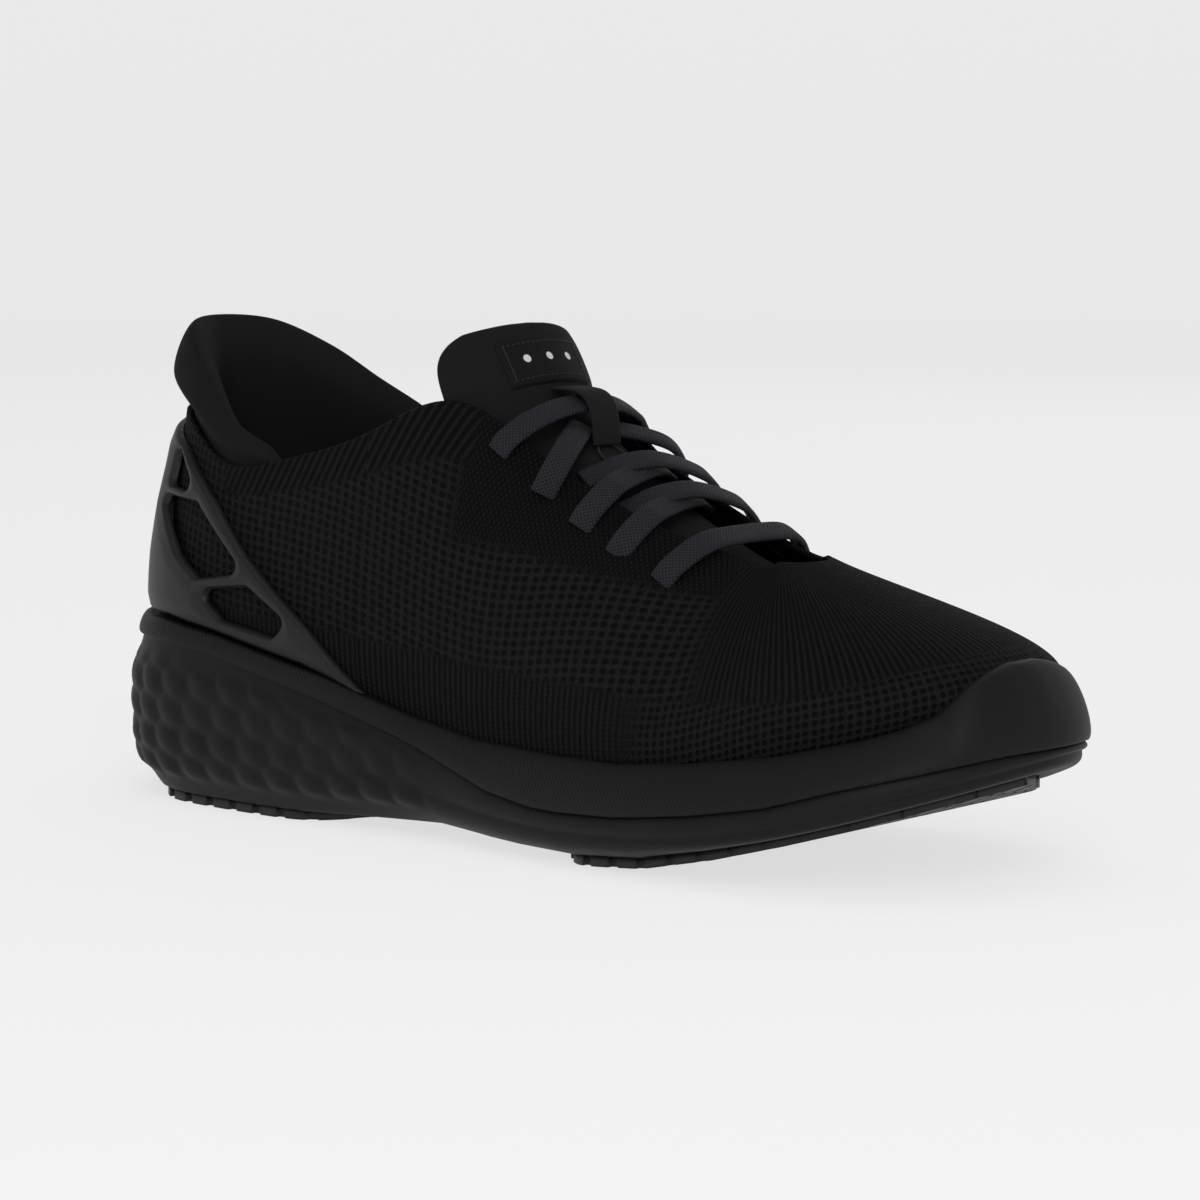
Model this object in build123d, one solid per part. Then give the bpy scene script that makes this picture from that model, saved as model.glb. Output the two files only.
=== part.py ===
from build123d import *
import math
import os

# Slip-on running shoe for the right foot, with a sprung heel.  Millimetres.
# Frame: origin on the ground under the middle of the box, +X to the toe,
# +Y to the inner (medial) side of the foot, +Z up.

# ---- driving dimensions ----
HEEL_CENTRE_X = -95.0      # the heel cup turns round this point
TOE_CENTRE_X = 62.0        # the toe cap turns round this point
TOE_CENTRE_Y = 1.0
TOE_REACH = 76.0           # toe centre to the tip of the knit
TOE_TURN = 4.0             # degrees that the tip leans to the big toe
TOE_SQUARENESS = 2.6       # exponent of the toe's rounded outline
KNIT = 1.6                 # knitted upper
RUBBER = 3.0               # outsole pads
GAP = 0.3                  # room between glued or sewn layers
JOINT_X = -42.0            # where the soft heel begins
CAGE_WALL = 2.2
STRAIGHT = 0.01            # a station facing less along the shoe than this is a side station
CAGE_STEPS = 8             # points up each cage profile
OVERRUN_FRONT, OVERRUN_HEEL = -95, 24   # lofts run past the joint to here before they are cut
LACE_WIDTH, LACE_THICK = 6.2, 1.8
EYELET_Y = 27.0
FAR = 400.0                # longer than the shoe, for cutting blocks
# Layers under the foot: distance in from the foot line, bottom and top over the foot bed.
UNDERFOOT = {"strobel_board": (KNIT + 4 * GAP, 0.1, 1.5), "insole_foam": (4.0, 1.7, 6.0),
             "insole_topcloth": (4.0, 6.1, 6.9)}
# Layers of the upper: nearest and farthest depth under its outside, lowest and highest share of its height.
FRONT_KNIT = HEEL_KNIT = (0, KNIT, 0, 1)
TOE_PUFF, TOE_PUFF_FROM = (1.9, 2.5, 0.08, 0.6), 92
VAMP_LINING, VAMP_FROM = (2.8, 3.5, 0.08, 0.8), 46
HEEL_LINING = (2.0, 2.9, 0.08, 0.5)
EYELET_TAPE, TAPE_FROM, TAPE_TO = (2.3, 2.8, 0.84, 0.96), -12, 50

# Ground profile of the rubber: flat under heel and ball, then the toe spring.
SOLE_BOTTOM = [(-152, 9), (-146, 4.6), (-138, 1.6), (-127, 0.2), (-110, 0), (-60, 0), (-40, 0.8),
               (-14, 1.8), (4, 0.4), (14, 0), (34, 0), (56, 1.8), (77, 6.2), (96, 11.2), (113, 16.2),
               (127, 21.2), (138, 25.6), (152, 31.5)]
# Height of the foot bed along the shoe.
FOOT_BED = [(-152, 31.5), (-125, 30.5), (-95, 29.5), (-42, 26.5), (-14, 22.5), (12, 19), (38, 17.6),
            (62, 18.6), (90, 22), (115, 26.5), (135, 31), (152, 35)]

# Upper stations: radius and height of foot line, belly handle, shoulder handle and top edge.
HEEL_BACK = (40.5, 42.0, 43.5, 58, 41.5, 84, 39.5, 104)
OUTER_HEEL = {150: (39.5, 44, 42, 58, 37.5, 84, 34.8, 102.5), 120: (35.5, 44.5, 38.5, 57, 34, 80, 30.5, 97)}
INNER_HEEL = {150: (39.0, 44, 41.5, 58, 37.5, 84, 34.8, 103.0), 120: (34.5, 44.5, 37.5, 57, 34, 80, 31, 99)}
OUTER_SIDE = {-95: (34.6, 43, 37.6, 57, 34, 76, 31.5, 90.5), -70: (37.4, 40, 40.6, 55, 36, 77, 33, 93.0),
              -42: (38.2, 35, 41.5, 52, 37, 80, 33.5, 101.0), -14: (39.2, 28, 42.5, 48, 38, 82, 28.5, 108.5),
              4: (41, 25.6, 44.5, 46, 38, 81, 22.5, 97.5), 24: (43.2, 25.5, 46.5, 43, 38, 75, 19.5, 87),
              44: (45, 26, 48, 41, 36.5, 69.5, 16.5, 79), 62: (45.6, 27.3, 48, 41, 34, 66, 12.5, 73.5)}
INNER_SIDE = {-95: (33.5, 43, 36.5, 57, 34, 77, 32, 94.5), -70: (34.5, 40, 37.6, 55, 35, 78, 33, 94.5),
              -42: (33.4, 35, 36.5, 52, 36, 80, 33, 101.0), -14: (33.4, 30, 36, 50, 36, 82, 28.5, 108.5),
              4: (35.6, 28, 38, 48, 36, 81, 22.5, 97.5), 24: (39, 27, 41, 45, 36, 75, 19.5, 87),
              44: (42.4, 26.6, 44.5, 42, 35.5, 69.5, 16.5, 79),
              62: (44.4, 27.6, 46, 41, 33.5, 66, 12.5, 73.5)}
# Toe fan: degrees from the tip; foot line height, handle factors of the outline and heights.
TOE_FAN = {60: (36, 1.01, 49, 0.74, 64.5), 38: (42, 1.0, 53, 0.68, 63), 18: (47, 0.99, 56, 0.66, 62.8)}
TOE_TIP = (48, 0.99, 57, 0.66, 63)
TOE_OUTER_HALF, TOE_INNER_HALF = 45.6, 44.4
THROAT_RADIUS, THROAT_END_Z = 12.5, 73.2

# Midsole cross sections: x, then for each side the y of bottom, flare, shoulder and top lip,
# with their heights for both sides together: flare, shoulder, lip.
MIDSOLE = [
    (-150.0, (5, 6, 5.5, 4.5), (4.5, 5.5, 5, 4), (15, 24, 33)),
    (-148.0, (9.5, 12, 11.5, 10), (9, 11.5, 11, 9.5), (17, 32, 42)),
    (-144.0, (14, 18, 17.5, 15.5), (13, 17, 16.5, 14.5), (18, 38, 45)),
    (-137.0, (21, 26.2, 25.6, 23.8), (19.5, 24.4, 23.8, 22), (18, 41, 46.6)),
    (-125.0, (29, 34.6, 33.6, 31.5), (27, 32.4, 31.4, 29.4), (19, 42.4, 47.6)),
    (-95.0, (37, 42.3, 41, 38.2), (35, 40, 38.5, 36.7), (20, 41, 45.6)),
    (-60.0, (38.5, 43.7, 42.8, 40), (34, 38.5, 38.2, 37), (19, 35, 39.6)),
    (-35.0, (38, 43.5, 43, 40.6), (31, 36.5, 36.8, 35.8), (17, 29.5, 34)),
    (-14.0, (38.5, 44.5, 44, 41.6), (30, 36.5, 37.2, 36), (14.5, 22.7, 28.8)),
    (10.0, (41, 48, 48, 43.4), (33, 41, 42, 39.2), (12, 16.5, 26.4)),
    (35.0, (45, 51.5, 51.6, 46.8), (39, 47, 47.4, 44.2), (11.5, 15.5, 26.3)),
    (60.0, (47, 54, 54, 48.4), (45, 52.3, 52.4, 47.4), (13, 17, 27.8)),
    (85.0, (46, 53.6, 53.6, 48.1), (46.5, 54, 54, 48.5), (16.5, 20.5, 31)),
    (105.0, (42.5, 49.6, 49.6, 44.8), (44.5, 51, 51, 46.4), (21, 25, 36)),
    (121.0, (36.5, 43, 43, 38.5), (39.5, 46, 46, 41.4), (25.2, 29.4, 41)),
    (133.0, (27.5, 33.5, 33.5, 29), (32, 38.5, 38.4, 34.2), (29, 33, 47)),
    (142.0, (15.5, 21, 21, 17), (21, 27.5, 27.3, 23.8), (32, 36, 51)),
    (147.5, (6, 11, 11, 7.5), (14, 19.5, 19.2, 16.2), (33.4, 37.4, 48)),
    (150.0, (0, 2.5, 2.2, 0.7), (10, 12.5, 12.2, 11), (34.2, 37, 43)),
]
# Plans of the two rubber pads.
HEEL_PAD = [(-137, 0), (-130, -18), (-112, -30), (-85, -35), (-58, -33), (-50, -20), (-48, 0), (-50, 18),
            (-60, 29), (-85, 32), (-112, 28), (-130, 16)]
BALL_PAD = [(20, 0), (24, -32), (40, -43), (62, -45.5), (86, -44.5), (106, -40.5), (122, -34), (134, -25),
            (142, -12), (145, 4), (142, 18), (134, 28), (122, 36), (106, 41.5), (86, 44.5), (62, 43),
            (42, 37), (26, 28)]

# Collar roll: station, radius and height of the outer seam, outer lip, crest, inner lip and lower inner end.
COLLAR_BACK = [(37.4, 104.6), (43.0, 115), (37.5, 127.4), (30.0, 116), (33.0, 92), (37.3, 76)]
COLLAR_OUTER = {150: [(32.7, 103.1), (38.6, 113.6), (33.2, 125.0), (25.8, 114), (28.5, 92), (33.6, 76)],
                120: [(28.2, 97.8), (32.4, 106.4), (28.6, 115.5), (22.0, 106), (25.0, 88), (29.8, 76)],
                -95: [(28.9, 91.2), (30.1, 96), (27.2, 101.5), (22.6, 96), (24.4, 85), (30.0, 76)],
                -81: [(28.6, 88.4), (28.9, 92.8), (27.2, 94.8), (24.2, 90), (25.2, 83), (29.8, 77)]}
COLLAR_INNER = {150: [(32.7, 103.6), (38.6, 114.4), (33.2, 126.0), (25.8, 115), (28.5, 92), (33.4, 76)],
                120: [(28.9, 99.6), (33.2, 109), (29.2, 119.0), (22.6, 110), (25.0, 90), (29.6, 76)],
                -95: [(29.2, 95.2), (31.1, 101.5), (27.9, 110.5), (23.1, 103), (24.3, 87), (29.3, 76)],
                -76: [(28.9, 92.4), (29.5, 97.4), (27.1, 101.6), (23.7, 96.5), (24.7, 87), (29.1, 77)]}
COLLAR_SKIN = 1.2

# Heel cage: how far it stands off the knit at each station, and how that fades with height.
CAGE_STANDOFF = {180: 5.4, 150: 4.2, 120: 2.4, -95: 0.9, -70: 0.2, -42: 0.1, -14: 0.1, 4: 0.1, 24: 0.1}
STANDOFF_FADE = [(0, 1.0), (0.4, 0.86), (0.6, 0.62), (0.75, 0.25), (0.9, 0), (1, 0)]
# Side view of the cage: the outline kept, and the side windows.
CAGE_OUTLINE = [(-160, 48.2), (-160, 104), (-136, 102), (-112, 93), (-96, 81), (-82, 68), (-70, 59),
                (-58, 50.5), (-47, 42), (-40, 36.4), (-60, 40.8), (-95, 46.6), (-125, 48.6)]
SIDE_WINDOWS = [[(-117, 93), (-119, 83.5), (-107, 83.2)],
                [(-121, 80), (-103.5, 80.6), (-84, 63.5), (-98, 60), (-110, 66)],
                [(-97, 56.5), (-80, 60.2), (-66, 49.8), (-68, 47), (-92, 49.5)]]
BACK_WINDOW = [(0, 77), (12.5, 51), (-12.5, 51)]
BACK_CUT_X, SIDE_CUT_Y = -165, 10      # where the window cutters start
WINDOW_CORNER = 2.0

# Tongue: centre of the top face (x, z), half width, edge drop.
TONGUE = [(66.0, 68.0, 11, 2.5), (50.0, 74.0, 18, 7.0), (30.0, 83.6, 24, 12.0), (10.0, 96.0, 27, 15.5),
          (-2.5, 106.6, 26.5, 13.5), (-10.0, 117.6, 28.5, 11.0), (-14.6, 125.0, 27, 9.0),
          (-17.0, 129.2, 21, 5.5)]
TONGUE_LAYERS = {"tongue_shell": (0.0, 1.1), "tongue_foam": (1.35, 3.9), "tongue_lining": (4.15, 4.8)}
LABEL_SPAN, LABEL_HALF = (4.55, 5.95), 15.0
KEEPER_SPAN, KEEPER_HALF = (3.15, 4.45), 5.5
KEEPER_RISE = [0.8, 5.4, 7.6, 7.6, 5.4, 0.8]

# Eyelets, front to back on each side: x and height of the knit there.
EYELETS = [(48.5, 70.6), (34.5, 76.2), (23.0, 82.6), (11.0, 90.2), (-3.0, 99.6)]
EYELET_HOLE = 1.9
INSTEP_UP = Vector(0.52, 0, 0.854)      # square to the slope of the lacing
# Lace runs: (share of the way across, height over the straight line between two eyelets).
FLAT_RUN = [(0, 2.3), (0.05, 4.7), (0.13, 7.4), (0.22, 8.9), (0.35, 9.4), (0.5, 9.5), (0.65, 9.4),
            (0.78, 8.9), (0.87, 7.4), (0.95, 4.7), (1, 2.3)]
OVER_RUN = [(0, 2.3), (0.05, 4.9), (0.13, 7.5), (0.2, 8.7), (0.35, 10.2), (0.5, 10.6), (0.65, 8.2),
            (0.75, 4.6), (0.8, 2.8)]
UNDER_RUN = [(0, 2.3), (0.05, 4.9), (0.13, 7.5), (0.2, 8.4), (0.35, 8.2), (0.5, 7.6), (0.65, 5.8),
             (0.75, 3.2), (0.8, 1.8)]
TOP_RUN = [(0, 2.3), (0.05, 4.4), (0.13, 7.0), (0.3, 9.8), (0.5, 10.7), (0.7, 9.8), (0.87, 7.0),
           (0.95, 4.4), (1, 2.3)]
STUB_RUN = [(0, 2.3), (0.11, 4.4), (0.3, 5.3), (0.6, 3.6), (0.85, 2.0), (1, 1.5)]


def at(table, x):
    """Read a table of (x, value) pairs with straight lines between them."""
    for (x0, v0), (x1, v1) in zip(table, table[1:]):
        if x <= x1:
            return v0 + (v1 - v0) * (x - x0) / (x1 - x0)
    return table[-1][1]


def fan(centre, degrees):
    """Origin and outward direction of a vertical plane turned about a centre."""
    turn = math.radians(degrees)
    return Vector(*centre, 0), Vector(math.cos(turn), math.sin(turn), 0)


def toe_radius(degrees, half_width):
    """Superellipse outline of the toe, seen from above."""
    c, s = math.cos(math.radians(degrees)), math.sin(math.radians(degrees))
    n = TOE_SQUARENESS
    return ((c / TOE_REACH) ** n + (s / half_width) ** n) ** (-1 / n)


def side_plane(x, side):
    """Plane across the shoe at x; side is -1 for the outer side and +1 for the inner side."""
    centre_y = TOE_CENTRE_Y if x == TOE_CENTRE_X else 0
    return Vector(x, centre_y, 0), Vector(0, side, 0)


def heel_plane(degrees, side):
    """Plane fanned about the heel centre; 180 degrees is the back."""
    return fan((HEEL_CENTRE_X, 0), side * degrees)


def toe_plane(degrees, side):
    """Plane fanned about the toe centre, leaning to the big toe at the tip."""
    lean = TOE_TURN * math.cos(math.radians(degrees))
    return fan((TOE_CENTRE_X, TOE_CENTRE_Y), side * degrees + lean)


def handles(row):
    """Radius and height pairs of a flat row."""
    return list(zip(row[0::2], row[1::2]))


def toe_row(degrees, row, half_width):
    """Foot line, two handles and the throat edge of a toe station."""
    z_foot, k1, z1, k2, z2 = row
    r = toe_radius(degrees, half_width)
    return [(r, z_foot), (k1 * r, z1), (k2 * r, z2), (THROAT_RADIUS, THROAT_END_Z)]


def heel_stations(outer, inner, back, sides):
    """Stations from the outer joint line round the heel to the inner one."""
    run = [(side_plane(x, -1), outer[x]) for x in sorted(sides, reverse=True)]
    run += [(heel_plane(a, -1), outer[a]) for a in (120, 150)]
    run.append((heel_plane(180, -1), back))
    run += [(heel_plane(a, 1), inner[a]) for a in (150, 120)]
    run += [(side_plane(x, 1), inner[x]) for x in sorted(sides)]
    return run


def upper_heel_stations(first_x=JOINT_X):
    """Stations from the outer side at first_x round the heel to the inner side."""
    outer = {k: handles(v) for k, v in {**OUTER_SIDE, **OUTER_HEEL}.items()}
    inner = {k: handles(v) for k, v in {**INNER_SIDE, **INNER_HEEL}.items()}
    sides = [x for x in OUTER_SIDE if x <= first_x]
    return heel_stations(outer, inner, handles(HEEL_BACK), sides)


def upper_front_stations(first_x=JOINT_X):
    """Stations from the outer joint line round the toe to the inner one."""
    places = [x for x in sorted(OUTER_SIDE) if x >= first_x]
    run = [(side_plane(x, -1), handles(OUTER_SIDE[x])) for x in places]
    run += [(toe_plane(a, -1), toe_row(a, TOE_FAN[a], TOE_OUTER_HALF)) for a in (60, 38, 18)]
    run.append((toe_plane(0, 1), toe_row(0, TOE_TIP, TOE_INNER_HALF)))
    run += [(toe_plane(a, 1), toe_row(a, TOE_FAN[a], TOE_INNER_HALF)) for a in (18, 38, 60)]
    run += [(side_plane(x, 1), handles(INNER_SIDE[x])) for x in reversed(places)]
    return run


def bezier(points, t):
    """Point of a cubic Bezier curve in radius and height."""
    weights = ((1 - t) ** 3, 3 * t * (1 - t) ** 2, 3 * t * t * (1 - t), t ** 3)
    return tuple(sum(w * p[i] for w, p in zip(weights, points)) for i in (0, 1))


def inward(points, depth):
    """Move a profile towards the foot by depth, square to itself."""
    moved = []
    for i, (r, z) in enumerate(points):
        before, after = points[max(i - 1, 0)], points[min(i + 1, len(points) - 1)]
        dr, dz = after[0] - before[0], after[1] - before[1]
        size = math.hypot(dr, dz)
        moved.append((r - depth * dz / size, z + depth * dr / size))
    return moved


def upper_profile(plane, row, low=0.0, high=1.0, steps=7):
    """Outside of the upper at a station, from the foot bed up to the top edge."""
    origin, out = plane
    bed = at(FOOT_BED, (origin + out * row[0][0]).X) + GAP
    curve = [bezier(row, low + (high - low) * i / steps) for i in range(steps + 1)]
    if low == 0.0:
        curve = [(row[0][0], bed)] + curve
    return curve


def place(plane, points):
    """Lift radius and height pairs into space."""
    origin, out = plane
    return [origin + out * r + Vector(0, 0, z) for r, z in points]


def band_wire(plane, outside, inside):
    """Closed outline between two profiles that run the same way."""
    a, b = place(plane, outside), place(plane, list(reversed(inside)))
    joins = [Edge.make_line(a[-1], b[0]), Edge.make_line(b[-1], a[0])]
    return Wire([Edge.make_spline(a), joins[0], Edge.make_spline(b), joins[1]])


def layer(stations, near, far, low=0.0, high=1.0):
    """Skin between two depths under the outside of the upper."""
    wires = []
    for plane, row in stations:
        profile = upper_profile(plane, row, low, high)
        outside = inward(profile, near) if near else profile
        wires.append(band_wire(plane, outside, inward(profile, far)))
    return Solid.make_loft(wires)


def foot_outline(inset):
    """Plan of the foot line all round the shoe, moved inwards by inset."""
    stations = upper_heel_stations()[1:-1] + list(reversed(upper_front_stations()))
    points = [plane[0] + plane[1] * (row[0][0] - inset) for plane, row in stations]
    return Face(Wire([Edge.make_spline([Vector(p.X, p.Y, 0) for p in points], periodic=True)]))


def side_band(lower, upper):
    """Block between two height tables, as wide as anything here."""
    corners = [Vector(x, -FAR / 2, z) for x, z in upper + lower[::-1]]
    return extrude(Face(Wire.make_polygon(corners, close=True)), FAR, dir=(0, 1, 0))


def raised(table, height):
    return [(x, z + height) for x, z in table]


def foot_slab(inset, low, high):
    """Sheet under the foot, following the foot bed."""
    prism = extrude(foot_outline(inset), FAR, dir=(0, 0, 1))
    return prism & side_band(raised(FOOT_BED, low), raised(FOOT_BED, high))


def midsole_wire(x, outer, inner, heights):
    bottom = at(SOLE_BOTTOM, x) + RUBBER
    levels = (bottom, *heights)
    outside = [Vector(x, -y, z) for y, z in zip(outer, levels)]
    inside = [Vector(x, y, z) for y, z in zip(inner, levels)]
    return Wire.make_polygon(outside + list(reversed(inside)), close=True)


def midsole():
    body = Solid.make_loft([midsole_wire(*row) for row in MIDSOLE])
    room = side_band(FOOT_BED, raised(FOOT_BED, FAR / 4))
    cavity = extrude(foot_outline(-4 * GAP), FAR, dir=(0, 0, 1)) & room
    return body - cavity


def pad(points):
    """Rubber pad: a rounded plan cut to the ground profile."""
    plan = Face(Wire([Edge.make_spline([Vector(x, y, 0) for x, y in points], periodic=True)]))
    prism = extrude(plan, FAR, dir=(0, 0, 1))
    return prism & side_band(SOLE_BOTTOM, raised(SOLE_BOTTOM, RUBBER - 2 * GAP))


def outsole_pads():
    return {"outsole_heel": pad(HEEL_PAD), "outsole_forefoot": pad(BALL_PAD)}


def window(points, plane, toward):
    """Rounded window cutter through the cage."""
    face = Face(Wire.make_polygon([plane(*p) for p in points], close=True))
    face = face.fillet_2d(WINDOW_CORNER, face.vertices())
    return extrude(face, FAR / 8, dir=toward)


def cage_profile(plane, row, standoff):
    """Inside of the cage at a station: the knit's outside, moved out."""
    shares = [i / CAGE_STEPS for i in range(CAGE_STEPS + 1)]
    curve = [bezier(row, share) for share in shares]
    lifts = [-(GAP + standoff * at(STANDOFF_FADE, share)) for share in shares]
    return [inward(curve, lift)[i] for i, lift in enumerate(lifts)]


def heel_cage():
    """Moulded cage: a skin round the heel, trimmed to its outline, with windows."""
    wires = []
    for (plane, row), lift in zip(upper_heel_stations(OVERRUN_HEEL), cage_lifts()):
        inside = cage_profile(plane, row, lift)
        wires.append(band_wire(plane, inward(inside, -CAGE_WALL), inside))
    skin = Solid.make_loft(wires)
    outline = Face(Wire.make_polygon([Vector(x, -FAR / 2, z) for x, z in CAGE_OUTLINE], close=True))
    cage = skin & extrude(outline, FAR, dir=(0, 1, 0))
    for points in SIDE_WINDOWS:
        for side in (-1, 1):
            cage -= window(points, lambda x, z: Vector(x, side * SIDE_CUT_Y, z), (0, side, 0))
    cage -= window(BACK_WINDOW, lambda y, z: Vector(BACK_CUT_X, y, z), (1, 0, 0))
    return cage


def cage_lifts():
    """Standoff of each heel station, outer side to inner side."""
    half = [CAGE_STANDOFF[k] for k in (24, 4, -14, -42, -70, -95, 120, 150)]
    return half + [CAGE_STANDOFF[180]] + half[::-1]


def collar_stations():
    run = [(side_plane(x, -1), COLLAR_OUTER[x]) for x in (-81, -95)]
    run += [(heel_plane(a, -1), COLLAR_OUTER[a]) for a in (120, 150)]
    run.append((heel_plane(180, -1), COLLAR_BACK))
    run += [(heel_plane(a, 1), COLLAR_INNER[a]) for a in (150, 120)]
    run += [(side_plane(x, 1), COLLAR_INNER[x]) for x in (-95, -76)]
    return run


def collar():
    """Padded heel collar: an outer skin rolled over a foam core."""
    skin, core = [], []
    for plane, outside in reversed(collar_stations()):
        inside = inward(outside, COLLAR_SKIN)
        skin.append(band_wire(plane, outside, inside))
        middle = place(plane, inward(outside, COLLAR_SKIN + 0.1))
        core.append(Wire([Edge.make_spline(middle), Edge.make_line(middle[-1], middle[0])]))
    return {"collar_cover": Solid.make_loft(skin), "collar_foam": Solid.make_loft(core)}


def tongue_row(s):
    """Catmull-Rom blend of the tongue's rows at station s."""
    i = min(int(s), len(TONGUE) - 2)
    t = s - i
    rows = [TONGUE[min(max(i + k, 0), len(TONGUE) - 1)] for k in (-1, 0, 1, 2)]
    weights = ((-t + 2 * t ** 2 - t ** 3) / 2, (2 - 5 * t ** 2 + 3 * t ** 3) / 2,
               (t + 4 * t ** 2 - 3 * t ** 3) / 2, (-t ** 2 + t ** 3) / 2)
    return [sum(w * row[k] for w, row in zip(weights, rows)) for k in range(4)]


def tongue_frame(s):
    """Centre, upward normal, half width and edge drop of the tongue at station s."""
    x, z, half, drop = tongue_row(s)
    before, after = tongue_row(max(s - 0.1, 0)), tongue_row(min(s + 0.1, len(TONGUE) - 1))
    along = Vector(after[0] - before[0], 0, after[1] - before[1]).normalized()
    return Vector(x, 0, z), Vector(0, 1, 0).cross(along), half, drop


def tongue_point(s, y, depth):
    """Point under the tongue's top face."""
    centre, normal, half, drop = tongue_frame(s)
    return centre + Vector(0, y, 0) - normal * (depth + drop * (y / half) ** 2)


def tongue_sheet(span, half_width, near, far, steps):
    """Curved sheet on the tongue between two depths; half_width None takes the tongue's own."""
    wires = []
    for i in range(steps + 1):
        s = span[0] + (span[1] - span[0]) * i / steps
        half = half_width or tongue_row(s)[2]
        ys = [half * k / 3 for k in range(-3, 4)]
        top = [tongue_point(s, y, near) for y in ys]
        under = [tongue_point(s, y, far) for y in reversed(ys)]
        wires.append(Wire([Edge.make_spline(top), Edge.make_line(top[-1], under[0]),
                           Edge.make_spline(under), Edge.make_line(under[-1], top[0])]))
    return Solid.make_loft(wires)


def strap(points, width, thick, upward):
    """Flat strap carried along points, its face towards upward."""
    wires = []
    for i, p in enumerate(points):
        along = (points[min(i + 1, len(points) - 1)] - points[max(i - 1, 0)]).normalized()
        across = along.cross(upward).normalized()
        up, side = across.cross(along) * (thick / 2), across * (width / 2)
        corners = [p + side + up, p - side + up, p - side - up, p + side - up]
        wires.append(Wire.make_polygon(corners, close=True))
    return Solid.make_loft(wires)


def lace_run(start, finish, shape):
    """One visible run of the flat lace between two points of the lacing."""
    points = [start + (finish - start) * share + INSTEP_UP * height for share, height in shape]
    return strap(points, LACE_WIDTH, LACE_THICK, INSTEP_UP)


def eyelet(i, side):
    x, z = EYELETS[i]
    return Vector(x, side * EYELET_Y, z)


def laces():
    """One flat lace in its visible runs: front bar, crossing pairs, keeper stubs and top bar."""
    runs = [lace_run(eyelet(0, -1), eyelet(0, 1), FLAT_RUN)]
    for i in (1, 2):
        runs.append(lace_run(eyelet(i, -1), eyelet(i + 1, 1), UNDER_RUN))
        runs.append(lace_run(eyelet(i, 1), eyelet(i + 1, -1), OVER_RUN))
    for side in (-1, 1):
        runs.append(lace_run(eyelet(3, side), tongue_point(3.55, side * 4.0, 0), STUB_RUN))
    runs.append(lace_run(eyelet(4, -1), eyelet(4, 1), TOP_RUN))
    return Compound(children=runs)


def lace_keeper():
    """Strap sewn to the tongue at both ends, that the top of the lace passes under."""
    low, high = KEEPER_SPAN
    count = len(KEEPER_RISE)
    points = [tongue_point(low + (high - low) * i / (count - 1), 0, -h) for i, h in enumerate(KEEPER_RISE)]
    return strap(points, 2 * KEEPER_HALF, 1.0, INSTEP_UP)


def slab(x0, x1):
    """Block between two places along the shoe."""
    return Pos((x0 + x1) / 2, 0, 0) * Box(x1 - x0, FAR, FAR)


def eyelet_drills():
    drills = []
    for side in (-1, 1):
        for x, z in EYELETS:
            out = Vector(0.42, side * 0.5, 0.75).normalized()
            plane = Plane(Vector(x, side * EYELET_Y, z) - out * 6, z_dir=out)
            drills.append(plane * Cylinder(EYELET_HOLE, 12, align=(Align.CENTER, Align.CENTER, Align.MIN)))
    return drills


def drilled(shape):
    for drill in eyelet_drills():
        shape -= drill
    return shape


def front_layer(near, far, low, high):
    """Layer of the front ring, run back past the joint line so that all layers stay parallel."""
    return layer(upper_front_stations(OVERRUN_FRONT), near, far, low, high)


def heel_layer(near, far, low, high):
    """Layer of the heel ring, run forward past the joint line."""
    return layer(upper_heel_stations(OVERRUN_HEEL), near, far, low, high)


def backing_tape(side):
    """Tape behind one row of eyelets."""
    run = upper_front_stations(OVERRUN_FRONT)
    strip = [(plane, row) for plane, row in run if plane[1].Y == side and plane[1].X < STRAIGHT]
    return layer(strip, *EYELET_TAPE) & slab(TAPE_FROM, TAPE_TO)


def upper_layers():
    """Knit, stiffeners, tapes and linings, from the outside in."""
    return {
        "knit_upper": drilled(front_layer(*FRONT_KNIT) & slab(JOINT_X, FAR)),
        "knit_heel": heel_layer(*HEEL_KNIT) & slab(-FAR, JOINT_X),
        "toe_puff": front_layer(*TOE_PUFF) & slab(TOE_PUFF_FROM, FAR),
        "vamp_lining": front_layer(*VAMP_LINING) & slab(VAMP_FROM, FAR),
        "heel_lining": heel_layer(*HEEL_LINING) & slab(-FAR, JOINT_X),
        "eyestay_backing_outer": backing_tape(-1),
        "eyestay_backing_inner": backing_tape(1),
    }


def build():
    nodes = dict(outsole_pads())
    nodes["midsole"] = midsole()
    for name, (inset, low, high) in UNDERFOOT.items():
        nodes[name] = foot_slab(inset, low, high)
    nodes.update(upper_layers())
    nodes["heel_cage"] = heel_cage()
    nodes.update(collar())
    for name, (near, far) in TONGUE_LAYERS.items():
        nodes[name] = tongue_sheet((0, 7), None, near, far, 14)
    nodes["tongue_label"] = tongue_sheet(LABEL_SPAN, LABEL_HALF, -0.9, -0.1, 4)
    nodes["lace_keeper"] = lace_keeper()
    nodes["lace"] = laces()
    return nodes


def main():
    os.makedirs("parts", exist_ok=True)
    for name, shape in build().items():
        export_step(shape, f"parts/{name}.step")


main()
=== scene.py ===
import math

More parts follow.
